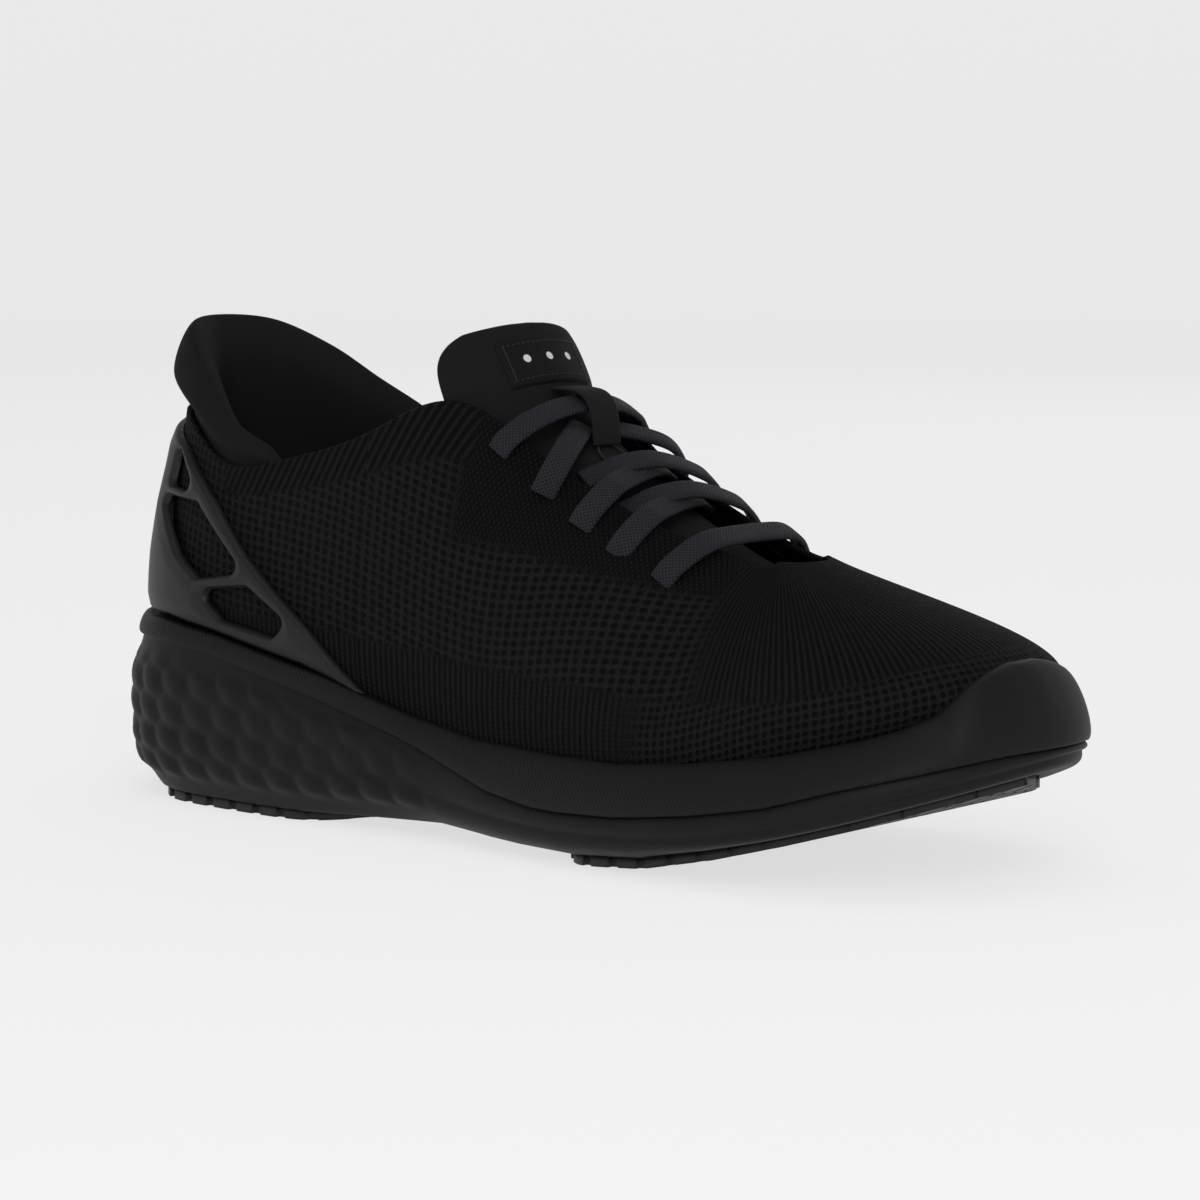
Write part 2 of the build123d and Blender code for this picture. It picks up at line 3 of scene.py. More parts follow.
import bmesh
import bpy
import numpy as np
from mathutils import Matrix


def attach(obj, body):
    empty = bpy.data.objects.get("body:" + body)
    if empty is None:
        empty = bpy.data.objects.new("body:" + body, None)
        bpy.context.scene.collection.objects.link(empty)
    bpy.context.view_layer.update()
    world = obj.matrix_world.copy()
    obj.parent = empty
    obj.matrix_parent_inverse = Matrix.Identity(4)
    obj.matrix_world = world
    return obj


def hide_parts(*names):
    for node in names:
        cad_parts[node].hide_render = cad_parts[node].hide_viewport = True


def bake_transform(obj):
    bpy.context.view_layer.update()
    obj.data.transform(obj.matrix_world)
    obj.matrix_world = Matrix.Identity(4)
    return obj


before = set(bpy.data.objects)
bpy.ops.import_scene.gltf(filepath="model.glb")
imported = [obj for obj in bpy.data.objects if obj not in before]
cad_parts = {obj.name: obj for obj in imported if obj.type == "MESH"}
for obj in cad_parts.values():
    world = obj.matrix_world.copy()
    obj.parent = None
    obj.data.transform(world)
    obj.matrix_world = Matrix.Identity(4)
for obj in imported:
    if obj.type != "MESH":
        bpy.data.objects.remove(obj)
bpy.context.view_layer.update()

# ---- Stage and camera ----
# A pale paper sweep under soft overhead boxes; the shoe stands on it in three-quarter view
# from the outer side of the toe.
CAMERA_TURN, CAMERA_LIFT = math.radians(39.03), math.radians(6.37)
CAMERA_REACH = 1.04662
LENS_MM, SENSOR_MM, CLIP_NEAR, CLIP_FAR = 124.03, 36.0, 0.05, 20
CAMERA_AIM = np.array([0.0058, 0.0, 0.05885])
FLOOR_RADIUS, WALL_RISE, BEND, SPOKES = 3.2, 2.2, 1.2, 96


def linear(hexcode):
    """sRGB hex to linear RGBA: a straight line near black, a 2.4 power above it."""
    srgb = [int(hexcode[i:i + 2], 16) / 255 for i in (1, 3, 5)]
    return [c / 12.92 if c <= 0.04045 else ((c + 0.055) / 1.055) ** 2.4 for c in srgb] + [1.0]


def add(tree, kind, inputs=(), **settings):
    """Add a node; inputs pairs a socket's name or number with a value or with another node's output."""
    made = tree.nodes.new(kind)
    for key, value in settings.items():
        setattr(made, key, value)
    for key, value in dict(inputs).items():
        if isinstance(value, bpy.types.NodeSocket):
            tree.links.new(value, made.inputs[key])
        else:
            made.inputs[key].default_value = value
    return made


def new_material(name):
    """Empty node material with its output, as (material, tree, output)."""
    made = bpy.data.materials.new(name)
    made.use_nodes = True
    made.node_tree.nodes.clear()
    return made, made.node_tree, add(made.node_tree, "ShaderNodeOutputMaterial")


def paper():
    """Matt studio paper."""
    made, tree, out = new_material("studio_paper_matt")
    shader = add(tree, "ShaderNodeBsdfPrincipled", {"Base Color": linear("#8a8a8a"), "Roughness": 0.95,
                                                    "Specular IOR Level": 0.0, "Emission Color": (1, 1, 1, 1),
                                                    "Emission Strength": 0.69})
    tree.links.new(shader.outputs[0], out.inputs[0])
    return made


def raw_mesh(name, points, faces, material=None):
    """Mesh object from points in metres."""
    mesh = bpy.data.meshes.new(name)
    mesh.from_pydata(np.asarray(points).tolist(), [], np.asarray(faces).tolist())
    mesh.shade_smooth()
    made = bpy.data.objects.new(name, mesh)
    bpy.context.scene.collection.objects.link(made)
    if material:
        mesh.materials.append(material)
    return made


def sweep_bowl():
    """Round floor that bends up into a wall: flat radius, quarter turn, then straight up."""
    turn = np.linspace(0, np.pi / 2, 16)
    radius = np.concatenate([[0.001, 0.8, 1.6], FLOOR_RADIUS + BEND * np.sin(turn), [FLOOR_RADIUS + BEND]])
    height = np.concatenate([[0, 0, 0], BEND * (1 - np.cos(turn)), [WALL_RISE]])
    around = np.linspace(0, 2 * np.pi, SPOKES, endpoint=False)
    points = np.stack([radius[:, None] * np.cos(around), radius[:, None] * np.sin(around),
                       np.repeat(height[:, None], SPOKES, 1)], -1).reshape(-1, 3)
    i, j = np.meshgrid(np.arange(len(radius) - 1), np.arange(SPOKES), indexing="ij")
    k = (j + 1) % SPOKES
    inner, outer = i * SPOKES, (i + 1) * SPOKES
    faces = np.stack([inner + j, inner + k, outer + k, outer + j], -1).reshape(-1, 4)
    return raw_mesh("studio_sweep", points, faces[:, ::-1], paper())


def look_from(thing, place, aim):
    """Turn a lamp or camera at place to face aim."""
    back = np.asarray(place) - np.asarray(aim)
    thing.location = place
    flat = math.hypot(back[0], back[1])
    thing.rotation_euler = (math.atan2(flat, back[2]), 0, math.atan2(back[0], -back[1]))


def softbox(name, place, size, watts):
    lamp = bpy.data.lights.new(name, "AREA")
    lamp.size, lamp.energy = size, watts
    made = bpy.data.objects.new(name, lamp)
    bpy.context.scene.collection.objects.link(made)
    look_from(made, place, (0, 0, 0.05))


sweep_bowl()
camera = bpy.data.objects.new("camera", bpy.data.cameras.new("camera"))
bpy.context.scene.collection.objects.link(camera)
camera.data.lens, camera.data.sensor_width = LENS_MM, SENSOR_MM
camera.data.clip_start, camera.data.clip_end = CLIP_NEAR, CLIP_FAR
camera_back = np.array([math.sin(CAMERA_TURN) * math.cos(CAMERA_LIFT),
                        -math.cos(CAMERA_TURN) * math.cos(CAMERA_LIFT), math.sin(CAMERA_LIFT)])
look_from(camera, CAMERA_AIM + CAMERA_REACH * camera_back, CAMERA_AIM)
bpy.context.scene.camera = camera
softbox("overhead", (0.1, -0.1, 1.7), 1.8, 6.5)
softbox("key_front", (0.95, -1.1, 0.95), 0.9, 11)
softbox("left_front", (-1.0, -1.0, 0.9), 0.9, 0.8)
softbox("back_fill", (-0.6, 1.5, 1.0), 1.2, 2.5)
world = bpy.data.worlds.new("studio")
world.use_nodes = True
world.node_tree.nodes["Background"].inputs["Color"].default_value = (1, 1, 1, 1)
world.node_tree.nodes["Background"].inputs["Strength"].default_value = 0.2
bpy.context.scene.world = world
bpy.context.scene.view_settings.view_transform = "Standard"

# ---- Knitted upper ----
# One flat-knitted polyester shell from heel to toe: smooth dense stitch beside the lacing, an open
# bird's-eye mesh on the quarter, ribs on the toe box and above the sole, and a slanted ribbed cuff.
# It is pulled over a last and its lower edge is cemented inside the midsole's rim.
HEEL_CENTRE, TOE_CENTRE = np.array([-95.0, 0.0]), np.array([62.0, 1.0])
TOE_REACH, TOE_HALF_OUTER, TOE_HALF_INNER, TOE_POWER, TOE_LEAN = 74.0, 45.6, 44.4, 2.6, 4.0
KNIT = 1.6
# share of the height that the knit runs on below its foot line, and its grid
KNIT_FOOT, KNIT_ROWS, FRONT_COLUMNS, HEEL_COLUMNS = -0.25, 60, 420, 226
# the heel half runs this far under the front one, and lies this much lower there
TUCK, TUCK_DEPTH = 3.0, 0.35
# radius and height of the foot line, two handles and the top edge
HEEL_BACK = (38.0, 42.0, 40.6, 58, 38.6, 84, 37.0, 104)
OUTER_FAN = {150: (37.6, 44, 40, 58, 35.6, 84, 33.0, 102.5), 120: (34.8, 44.5, 37.8, 57, 33.4, 80, 30.0, 97)}
INNER_FAN = {150: (37.2, 44, 39.6, 58, 35.6, 84, 33.0, 103.0),
             120: (33.9, 44.5, 36.8, 57, 33.4, 80, 30.5, 99)}
OUTER_SIDE = {-95: (34.6, 43, 37.6, 57, 34, 76, 31.5, 90.5), -70: (37.4, 40, 40.6, 55, 36, 77, 33, 93.0),
              -42: (38.2, 35, 41.5, 52, 37, 80, 33.5, 101.0), -14: (39.2, 28, 42.5, 48, 38, 82, 28.5, 108.5),
              4: (41, 25.6, 44.5, 46, 38, 81, 22.5, 97.5), 24: (43.2, 25.5, 46.5, 43, 38, 75, 19.5, 87),
              44: (45, 26, 48, 41, 36.5, 69.5, 16.5, 79), 62: (45.6, 27.3, 48, 41, 34, 66, 12.5, 73.5)}
INNER_SIDE = {-95: (33.5, 43, 36.5, 57, 34, 77, 32, 94.5), -70: (34.5, 40, 37.6, 55, 35, 78, 33, 94.5),
              -42: (33.4, 35, 36.5, 52, 36, 80, 33, 101.0), -14: (33.4, 30, 36, 50, 36, 82, 28.5, 108.5),
              4: (35.6, 28, 38, 48, 36, 81, 22.5, 97.5), 24: (39, 27, 41, 45, 36, 75, 19.5, 87),
              44: (42.4, 26.6, 44.5, 42, 35.5, 69.5, 16.5, 79), 62: (44.4, 27.6, 46, 41, 33.5, 66, 12.5, 73.5)}
TOE_FAN = {60: (36, 1.01, 49, 0.74, 64.5), 38: (42, 1.0, 53, 0.68, 63), 18: (47, 0.99, 56, 0.66, 62.8),
           0: (48, 0.99, 57, 0.66, 63)}
THROAT_RADIUS, THROAT_Z = 12.5, 73.2
# the inner side of the toe is rounder and its shoulder lower
INNER_TOE_POWER, INNER_TOE_DROP = 2.15, 2.5


def lift(centre, degrees, row):
    """Points of a station: centre plus radius along the turned direction, at each height."""
    turn = math.radians(degrees)
    r, z = np.array(row[0::2], float), np.array(row[1::2], float)
    return np.stack([centre[0] + r * math.cos(turn), centre[1] + r * math.sin(turn), z], -1)


def toe_station(degrees, side):
    """Superellipse outline radius; handles are shares of it."""
    z0, k1, z1, k2, z2 = TOE_FAN[degrees]
    half, power = (TOE_HALF_INNER, INNER_TOE_POWER) if side > 0 else (TOE_HALF_OUTER, TOE_POWER)
    c, s = math.cos(math.radians(degrees)), math.sin(math.radians(degrees))
    r = ((c / TOE_REACH) ** power + (s / half) ** power) ** (-1 / power)
    drop = INNER_TOE_DROP * s * (side > 0)
    row = (r, z0, k1 * r, z1 - drop, k2 * r - drop, z2 - drop, THROAT_RADIUS, THROAT_Z)
    return lift(TOE_CENTRE, side * degrees + TOE_LEAN * c, row)


def side_station(x, row, side):
    centre = TOE_CENTRE if x == TOE_CENTRE[0] else np.array([x, 0.0])
    return lift(centre, side * 90, row)


def ring_stations():
    """All stations once round: heel back, outer side, toe, inner side."""
    ring = [lift(HEEL_CENTRE, 180, HEEL_BACK)]
    ring += [lift(HEEL_CENTRE, -a, OUTER_FAN[a]) for a in (150, 120)]
    ring += [side_station(x, row, -1) for x, row in OUTER_SIDE.items()]
    ring += [toe_station(a, -1) for a in (60, 38, 18)] + [toe_station(0, 1)]
    ring += [toe_station(a, 1) for a in (18, 38, 60)]
    ring += [side_station(x, row, 1) for x, row in reversed(INNER_SIDE.items())]
    ring += [lift(HEEL_CENTRE, a, INNER_FAN[a]) for a in (120, 150)]
    return np.array(ring)


def closed_spline(knots, values, at):
    """Periodic cubic spline: second derivatives from one linear system, then cubic pieces."""
    n = len(values)
    flat = values.reshape(n, -1)
    step = np.diff(knots)
    rows = np.arange(n)
    left = (rows - 1) % n
    system = np.zeros((n, n))
    system[rows, left] += step[left]
    system[rows, rows] += 2 * (step[left] + step)
    system[rows, (rows + 1) % n] += step
    slope = (np.roll(flat, -1, 0) - flat) / step[:, None]
    second = np.linalg.solve(system, 6 * (slope - slope[left]))
    at = np.mod(at, knots[-1])
    i = np.clip(np.searchsorted(knots, at, "right") - 1, 0, n - 1)
    j, h = (i + 1) % n, step[i][:, None]
    a = (knots[i + 1] - at)[:, None] / h
    b = 1 - a
    out = a * flat[i] + b * flat[j] + ((a ** 3 - a) * second[i] + (b ** 3 - b) * second[j]) * h ** 2 / 6
    return out.reshape((len(at),) + values.shape[1:])


def chord_knots(points):
    """Running length round a closed loop of points."""
    steps = np.linalg.norm(np.roll(points, -1, 0) - points, axis=1)
    return np.concatenate([[0], np.cumsum(steps)])


RING = ring_stations()
RING_KNOTS = chord_knots(RING[:, 0])
RING_LENGTH = RING_KNOTS[-1]
OUTER_JOINT, INNER_JOINT = RING_KNOTS[5], RING_KNOTS[len(RING) - 5]


def upper_point(u, v):
    """Outside of the knit: cubic Bezier in v between handles splined round the ring in u (mm)."""
    h = closed_spline(RING_KNOTS, RING, u)[:, None]
    v = np.asarray(v)[None, :, None]
    return ((1 - v) ** 3 * h[:, :, 0] + 3 * v * (1 - v) ** 2 * h[:, :, 1] + 3 * v * v * (1 - v) * h[:, :, 2]
            + v ** 3 * h[:, :, 3])


def grid_normals(grid):
    """Unit cross product of the grid's two directions."""
    n = np.cross(np.gradient(grid, axis=0), np.gradient(grid, axis=1))
    return n / np.maximum(np.linalg.norm(n, axis=-1, keepdims=True), 1e-9)


def outward(grid):
    """Normals turned away from the middle of the shoe."""
    n = grid_normals(grid)
    away = grid - np.array([0, 0, 45.0])
    away[..., 0] *= 0.2
    return n * np.sign((n * away).sum(-1).mean())


def strip_cap(loop):
    """Quads zipping a closed loop of vertex numbers shut, first with last and inwards."""
    loop = np.asarray(loop)
    k = np.arange(len(loop) // 2 - 1)
    return np.stack([loop[k], loop[k + 1], loop[-2 - k], loop[-1 - k]], -1)


def face_outwards(made):
    """Turn every face of a closed mesh outwards."""
    work = bmesh.new()
    work.from_mesh(made.data)
    bmesh.ops.recalc_face_normals(work, faces=work.faces)
    work.to_mesh(made.data)
    work.free()


def closed_mesh(name, grid, uv, material, wrap_u=False, wrap_v=False, attributes=()):
    """Closed quad mesh over a grid of points in millimetres, its faces turned outwards.
    A wrapped direction joins its last line to its first; the open ends of a tube are zipped shut."""
    nu, nv = grid.shape[:2]
    i, j = np.meshgrid(np.arange(nu - (not wrap_u)), np.arange(nv - (not wrap_v)), indexing="ij")
    corners = [(i, j), (i + 1, j), (i + 1, j + 1), (i, j + 1)]
    faces = np.stack([(a % nu) * nv + b % nv for a, b in corners], -1).reshape(-1, 4)
    seam_u = uv[-1:] + (uv[-1:] - uv[-2:-1]) * wrap_u
    wide = np.concatenate([uv, seam_u], 0)
    wide = np.concatenate([wide, wide[:, -1:] + (wide[:, -1:] - wide[:, -2:-1]) * wrap_v], 1)
    loops = np.stack([wide[a, b] for a, b in corners], -2).reshape(-1, 2)
    caps = []
    if wrap_v and not wrap_u:
        caps = [strip_cap(np.arange(nv)), strip_cap((nu - 1) * nv + np.arange(nv))]
    if wrap_u and not wrap_v:
        caps = [strip_cap(np.arange(nu) * nv), strip_cap(np.arange(nu) * nv + nv - 1)]
    for cap in caps:
        faces = np.concatenate([faces, cap])
        loops = np.concatenate([loops, uv.reshape(-1, 2)[cap.reshape(-1)]])
    made = raw_mesh(name, grid.reshape(-1, 3) * 0.001, faces, material)
    made.data.uv_layers.new(name="surface_mm").data.foreach_set("uv", loops.astype(np.float32).reshape(-1))
    for key, values in dict(attributes).items():
        field = made.data.attributes.new(key, "FLOAT", "POINT")
        field.data.foreach_set("value", np.ascontiguousarray(values, np.float32).reshape(-1))
    face_outwards(made)
    return made


def lengths(grid, axis):
    """Running length along one direction of a grid."""
    first = np.take(grid, [0], axis)
    return np.cumsum(np.linalg.norm(np.diff(grid, axis=axis, prepend=first), axis=-1), axis)


def smooth_step(low, high, x):
    """0 below low, 1 above high, a cubic ease between."""
    t = np.clip((x - low) / (high - low), 0, 1)
    return t * t * (3 - 2 * t)


def knit_shell(name, u0, u1, columns, rows, material, tuck=0.0):
    """Closed shell of one stretch: up the outside, over a rounded top edge, down the inside."""
    u = np.linspace(u0, u1, columns)
    v = np.linspace(KNIT_FOOT, 1, rows)
    outside = upper_point(u, v)
    normal = outward(outside)
    hidden = np.clip(1 - np.minimum(u - u0, u1 - u) / max(tuck, 1e-6), 0, 1) > 0
    outside = outside - normal * (TUCK_DEPTH * hidden * (tuck > 0))[:, None, None]
    inside = outside - normal * KNIT
    rims = [0.5 * (outside[:, k:k + 1 or None] + inside[:, k:k + 1 or None]) for k in (-1, 0)]
    crown = rims[0] + (outside[:, -1:] - outside[:, -3:-2]) * 0.25
    shell = np.concatenate([outside, crown, inside[:, ::-1], rims[1]], 1)
    tall = lengths(outside, 1)
    tall = np.concatenate([tall, tall[:, -1:] + 1, tall[:, ::-1] + 300, tall[:, :1] + 299], 1)
    across = np.repeat(u0 + lengths(outside[:, rows // 3], 0)[:, None], shell.shape[1], 1)
    zones = {k: np.concatenate([w, w[:, -1:], w[:, ::-1], w[:, :1]], 1)
             for k, w in knit_zones(outside, v).items()}
    return closed_mesh(name, shell, np.stack([across, tall], -1), material, wrap_v=True, attributes=zones)


def knit_zones(outside, v):
    """Weights of the cuff, mesh, rib and lower forefoot stitches at each point."""
    x, z = outside[..., 0], outside[..., 2]
    v = np.broadcast_to(v[None], x.shape)
    top = closed_top(x)
    cuff = smooth_step(0.845, 0.855, v) * smooth_step(-96, -92, x) * (1 - smooth_step(-12, -8, x))
    toe = smooth_step(62, 72, x + 0.5 * (v - 0.5) * 20)
    low = (1 - smooth_step(top, top + 2.0, z))
    lace_side = smooth_step(0.62, 0.70, v - 0.002 * (x - 10)) * smooth_step(-16, -8, x) * (1 - toe)
    ribs = np.maximum(toe * (1 - low), low * (1 - smooth_step(38, 60, x)))
    fine = low * smooth_step(38, 60, x)
    mesh = np.clip(1 - cuff - toe - low - lace_side, 0, 1)
    return {"cuff": cuff, "ribs": ribs, "fine_mesh": fine, "mesh": mesh}


def closed_top(x):
    """Height of the boundary of the denser stitch along the sole."""
    return np.interp(x, [-150, -60, -30, 20, 60, 90, 115, 135, 150], [56, 50, 47, 43, 41, 43, 50, 58, 60])


def knit_cloth():
    """Flat-knitted black polyester: matt yarn with a faint sheen, with painted shade darkening its holes and
    the grooves between its stitches.
    """
    made, tree, out = new_material("flat_knit_polyester_black")
    uv = add(tree, "ShaderNodeUVMap", uv_map="surface_mm").outputs[0]
    parts = add(tree, "ShaderNodeSeparateXYZ", {0: uv}).outputs
    u, v = parts[0], parts[1]

    def attr(name):
        return add(tree, "ShaderNodeAttribute", attribute_name=name).outputs["Fac"]

    def math_node(kind, a, b=0.0, c=0.0):
        return add(tree, "ShaderNodeMath", {0: a, 1: b, 2: c}, operation=kind).outputs[0]

    def ridge(pitch, tilt, sharp):
        """Rounded ribs: a raised sine across a slanted direction."""
        slant = math_node("MULTIPLY_ADD", v, tilt, u)
        wave = math_node("SINE", math_node("MULTIPLY", slant, 2 * math.pi / pitch))
        return math_node("POWER", math_node("MULTIPLY_ADD", wave, 0.5, 0.5), sharp)

    def holes(pitch_u, pitch_v, size):
        """Regular holes: distance to the nearest point of a staggered grid."""
        moved = add(tree, "ShaderNodeMapping", {0: uv, 3: (1 / pitch_u, 1 / pitch_v, 1)}).outputs[0]
        cell = add(tree, "ShaderNodeTexVoronoi", {"Vector": moved, "Scale": 1.0, "Randomness": 0.12},
                   voronoi_dimensions="2D").outputs["Distance"]
        return add(tree, "ShaderNodeMapRange", {0: cell, 1: size * 0.45, 2: size, 3: 0.0, 4: 1.0}).outputs[0]

    rows = ridge(1.25, 0.0, 0.8)
    stitch = math_node("MULTIPLY", ridge(1.35, 0.55, 0.7), ridge(1.35, -0.55, 0.7))
    mesh = math_node("MULTIPLY", holes(2.9, 2.3, 0.44), math_node("MULTIPLY_ADD", rows, 0.3, 0.7))
    fine = math_node("MULTIPLY", holes(2.1, 2.1, 0.42), math_node("MULTIPLY_ADD", rows, 0.3, 0.7))
    ribs = ridge(1.9, 0.0, 0.9)
    rib_rows = math_node("SINE", math_node("MULTIPLY", v, 2 * math.pi / 1.3))
    ribs = math_node("MULTIPLY", ribs, math_node("MULTIPLY_ADD", rib_rows, 0.16, 0.84))
    cuff = math_node("MULTIPLY", ridge(2.4, -0.45, 1.6), math_node("MULTIPLY_ADD", rib_rows, 0.1, 0.9))
    height = stitch
    for weight, pattern in (("mesh", mesh), ("fine_mesh", fine), ("ribs", ribs), ("cuff", cuff)):
        mixed = add(tree, "ShaderNodeMix", {"Factor": attr(weight), "A": height, "B": pattern})
        height = mixed.outputs["Result"]
    fuzz = add(tree, "ShaderNodeTexNoise", {"Vector": uv, "Scale": 2.2, "Detail": 3.0}).outputs[0]
    relief_and_painted_shade = math_node("MULTIPLY_ADD", fuzz, 0.25, math_node("MULTIPLY", height, 0.75))
    # Colour from the same relief: the holes and grooves get the dark end of the ramp as painted shade; the
    # noise part is a real random yarn tone.
    ramp = add(tree, "ShaderNodeValToRGB", {0: relief_and_painted_shade})
    ramp.color_ramp.elements[0].position, ramp.color_ramp.elements[1].position = 0.18, 0.8
    ramp.color_ramp.elements[0].color = linear("#010101")
    ramp.color_ramp.elements[1].color = linear("#151516")
    bump = add(tree, "ShaderNodeBump", {"Height": relief_and_painted_shade, "Strength": 1.0, "Distance": 0.0009})
    shader = add(tree, "ShaderNodeBsdfPrincipled", {"Base Color": ramp.outputs[0], "Roughness": 0.85,
                                                    "Specular IOR Level": 0.1, "Normal": bump.outputs[0]})
    tree.links.new(shader.outputs[0], out.inputs[0])
    return made


KNIT_CLOTH = knit_cloth()
knit_front = knit_shell("knit_front", OUTER_JOINT, INNER_JOINT, FRONT_COLUMNS, KNIT_ROWS, KNIT_CLOTH)
knit_heel = knit_shell("knit_heel_quarter", INNER_JOINT - RING_LENGTH - TUCK, OUTER_JOINT + TUCK,
                       HEEL_COLUMNS, KNIT_ROWS, KNIT_CLOTH, TUCK)
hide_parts("knit_upper")
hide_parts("knit_heel")
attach(knit_front, "shoe_base")
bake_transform(knit_heel)

# ---- Midsole ----
# One moulding of dark EVA foam: its crowned rim wraps the knit with a fine twill texture and rises to
# a toe bumper; the side below is smooth, and the heel carries rows of slanted convex scales.
SOLE_BOTTOM = [(-152, 9), (-146, 4.6), (-138, 1.6), (-127, 0.2), (-110, 0), (-60, 0), (-40, 0.8),
               (-14, 1.8), (4, 0.4), (14, 0), (34, 0), (56, 1.8), (77, 6.2), (96, 11.2), (113, 16.2),
               (127, 21.2), (138, 25.6), (152, 31.5)]
RUBBER = 2.8
# radius of the bottom edge, then radius and height of the widest line, then radius at the crease
SOLE_BACK = (45.5, 51.4, 17.5, 48.6)
SOLE_OUTER_FAN = {150: (41.2, 47.4, 18, 45.8), 120: (38.4, 43.9, 19.6, 43.0)}
SOLE_INNER_FAN = {150: (41.2, 47.2, 18, 46.0), 120: (36.4, 41.8, 19.6, 40.8)}
SOLE_OUTER = {-95: (37.0, 42.3, 20, 41.4), -70: (38.5, 43.7, 19, 42.8), -42: (38.1, 43.5, 16.5, 43.0),
              -14: (38.5, 44.5, 12.8, 44.2), 4: (40.2, 47.0, 10.6, 47.2), 24: (43.3, 50.1, 9.4, 50.4),
              44: (46.1, 52.6, 9.6, 52.8), 62: (48.0, 54.9, 10.8, 55.2)}
SOLE_INNER = {-95: (35.0, 40.0, 20, 38.9), -70: (35.0, 39.4, 19, 38.7), -42: (31.8, 37.0, 16.5, 37.2),
              -14: (30.0, 36.5, 12.8, 37.2), 4: (31.9, 39.6, 10.6, 40.6), 24: (36.1, 44.4, 9.4, 45.1),
              44: (41.4, 49.1, 9.6, 49.3), 62: (44.3, 51.6, 10.8, 51.8)}
SOLE_TOE = {-60: (54.6, 62.2, 15.8, 62.6), -38: (66.0, 72.8, 23.4, 73.6), -18: (71.8, 78.6, 29.2, 79.6),
            0: (73.4, 80.4, 31.6, 81.6), 18: (68.0, 74.2, 28.6, 75.3), 38: (58.4, 65.0, 21.8, 66.0),
            60: (49.0, 56.4, 15.2, 57.0)}
CREASE_Z = [(-150, 43.4), (-112, 43.7), (-91, 41.5), (-69, 36.8), (-54, 33.6), (-39, 29.7), (-23, 25.6),
            (-7.5, 20.9), (9, 16.2), (25, 14.1), (35, 14.0), (53, 14.9), (76, 17.7), (96, 21.2),
            (113, 26.2), (128, 30.1), (140, 33.5), (151, 35.2)]
LIP_Z = [(-137, 48.8), (-112, 48.6), (-91, 46.0), (-69, 42.0), (-53, 39.0), (-37, 34.6), (-22, 30.8),
         (-0.5, 27.3), (26, 26.4), (49, 26.3), (70, 28.3), (93, 31.7), (111, 35.9), (120, 39),
         (126, 42.4), (131, 49.0), (136, 53.5)]
# room from the knit to the lip: it stands off behind the cage and hugs the knit ahead of it
LIP_ROOM = [(-137, 6.0), (-128, 5.6), (-112, 4.6), (-95, 3.9), (-70, 3.2), (-42, 2.8), (-30, 1.4),
            (-14, 0.5), (139, 0.5)]
MIDSOLE_COLUMNS, SIDE_ROWS, BAND_ROWS = 880, 40, 18
SCALE_PITCH, SCALE_ROW, SCALE_SLANT, SCALE_DEPTH = 11.2, 7.4, 0.5, 1.5


def table(x, rows):
    """Read pairs of x and value with straight lines between them."""
    return np.interp(x, *zip(*rows))


def sole_row(row):
    bottom, wide, wide_z, crease = row
    return (bottom, 0, wide, wide_z, crease, 0)


def sole_stations():
    """Bottom, widest and crease points on the same station planes as the knit."""
    ring = [lift(HEEL_CENTRE, 180, sole_row(SOLE_BACK))]
    ring += [lift(HEEL_CENTRE, -a, sole_row(SOLE_OUTER_FAN[a])) for a in (150, 120)]
    ring += [side_station(x, sole_row(row), -1) for x, row in SOLE_OUTER.items()]
    ring += [lift(TOE_CENTRE, a + TOE_LEAN * math.cos(math.radians(a)), sole_row(row))
             for a, row in SOLE_TOE.items()]
    ring += [side_station(x, sole_row(row), 1) for x, row in reversed(SOLE_INNER.items())]
    ring += [lift(HEEL_CENTRE, a, sole_row(SOLE_INNER_FAN[a])) for a in (120, 150)]
    return np.array(ring)


SOLE_RING = sole_stations()


def sole_lines(u):
    """Bottom edge, widest line, crease and lip of the midsole round the ring."""
    lines = closed_spline(RING_KNOTS, SOLE_RING, u)
    bottom, wide, crease = lines[:, 0], lines[:, 1], lines[:, 2]
    bottom[:, 2] = table(bottom[:, 0], SOLE_BOTTOM) + RUBBER
    crease[:, 2] = table(crease[:, 0], CREASE_Z)
    v = np.linspace(KNIT_FOOT, 0.5, 80)
    knit = upper_point(u, v)
    foot = closed_spline(RING_KNOTS, RING[:, 0], u)
    lip_z = table(foot[:, 0], LIP_Z)
    at = np.array([np.interp(z, column, np.arange(len(v))) for z, column in zip(lip_z, knit[..., 2])])
    low = np.minimum(at.astype(int), len(v) - 2)
    share = (at - low)[:, None]
    rows = np.arange(len(u))
    lip = knit[rows, low] * (1 - share) + knit[rows, low + 1] * share
    out = crease - lip
    out[:, 2] = 0
    out /= np.linalg.norm(out, axis=1, keepdims=True)
    lip = lip + out * table(foot[:, 0], LIP_ROOM)[:, None]
    return bottom, wide, crease, lip, out


def quadratic(a, b, c, count):
    """Curve from a to c that passes b half way, count points."""
    t = np.linspace(0, 1, count)[None, :, None]
    return (1 - t) * (1 - 2 * t) * a[:, None] + 4 * t * (1 - t) * b[:, None] + t * (2 * t - 1) * c[:, None]


def scale_relief(along, up):
    """Pillow height: one less the squared distance to the nearest centre of a slanted staggered grid."""
    a = (along + SCALE_SLANT * up) / SCALE_PITCH
    b = up / SCALE_ROW
    best = np.full(a.shape, 9.0)
    for step in (-1, 0, 1, 2):
        row = np.floor(b) + step
        shift = 0.5 * np.mod(row, 2)
        column = np.round(a - shift) + shift
        best = np.minimum(best, np.hypot(a - column, (b - row) * 0.72))
    return 1 - (best / 0.56) ** 2


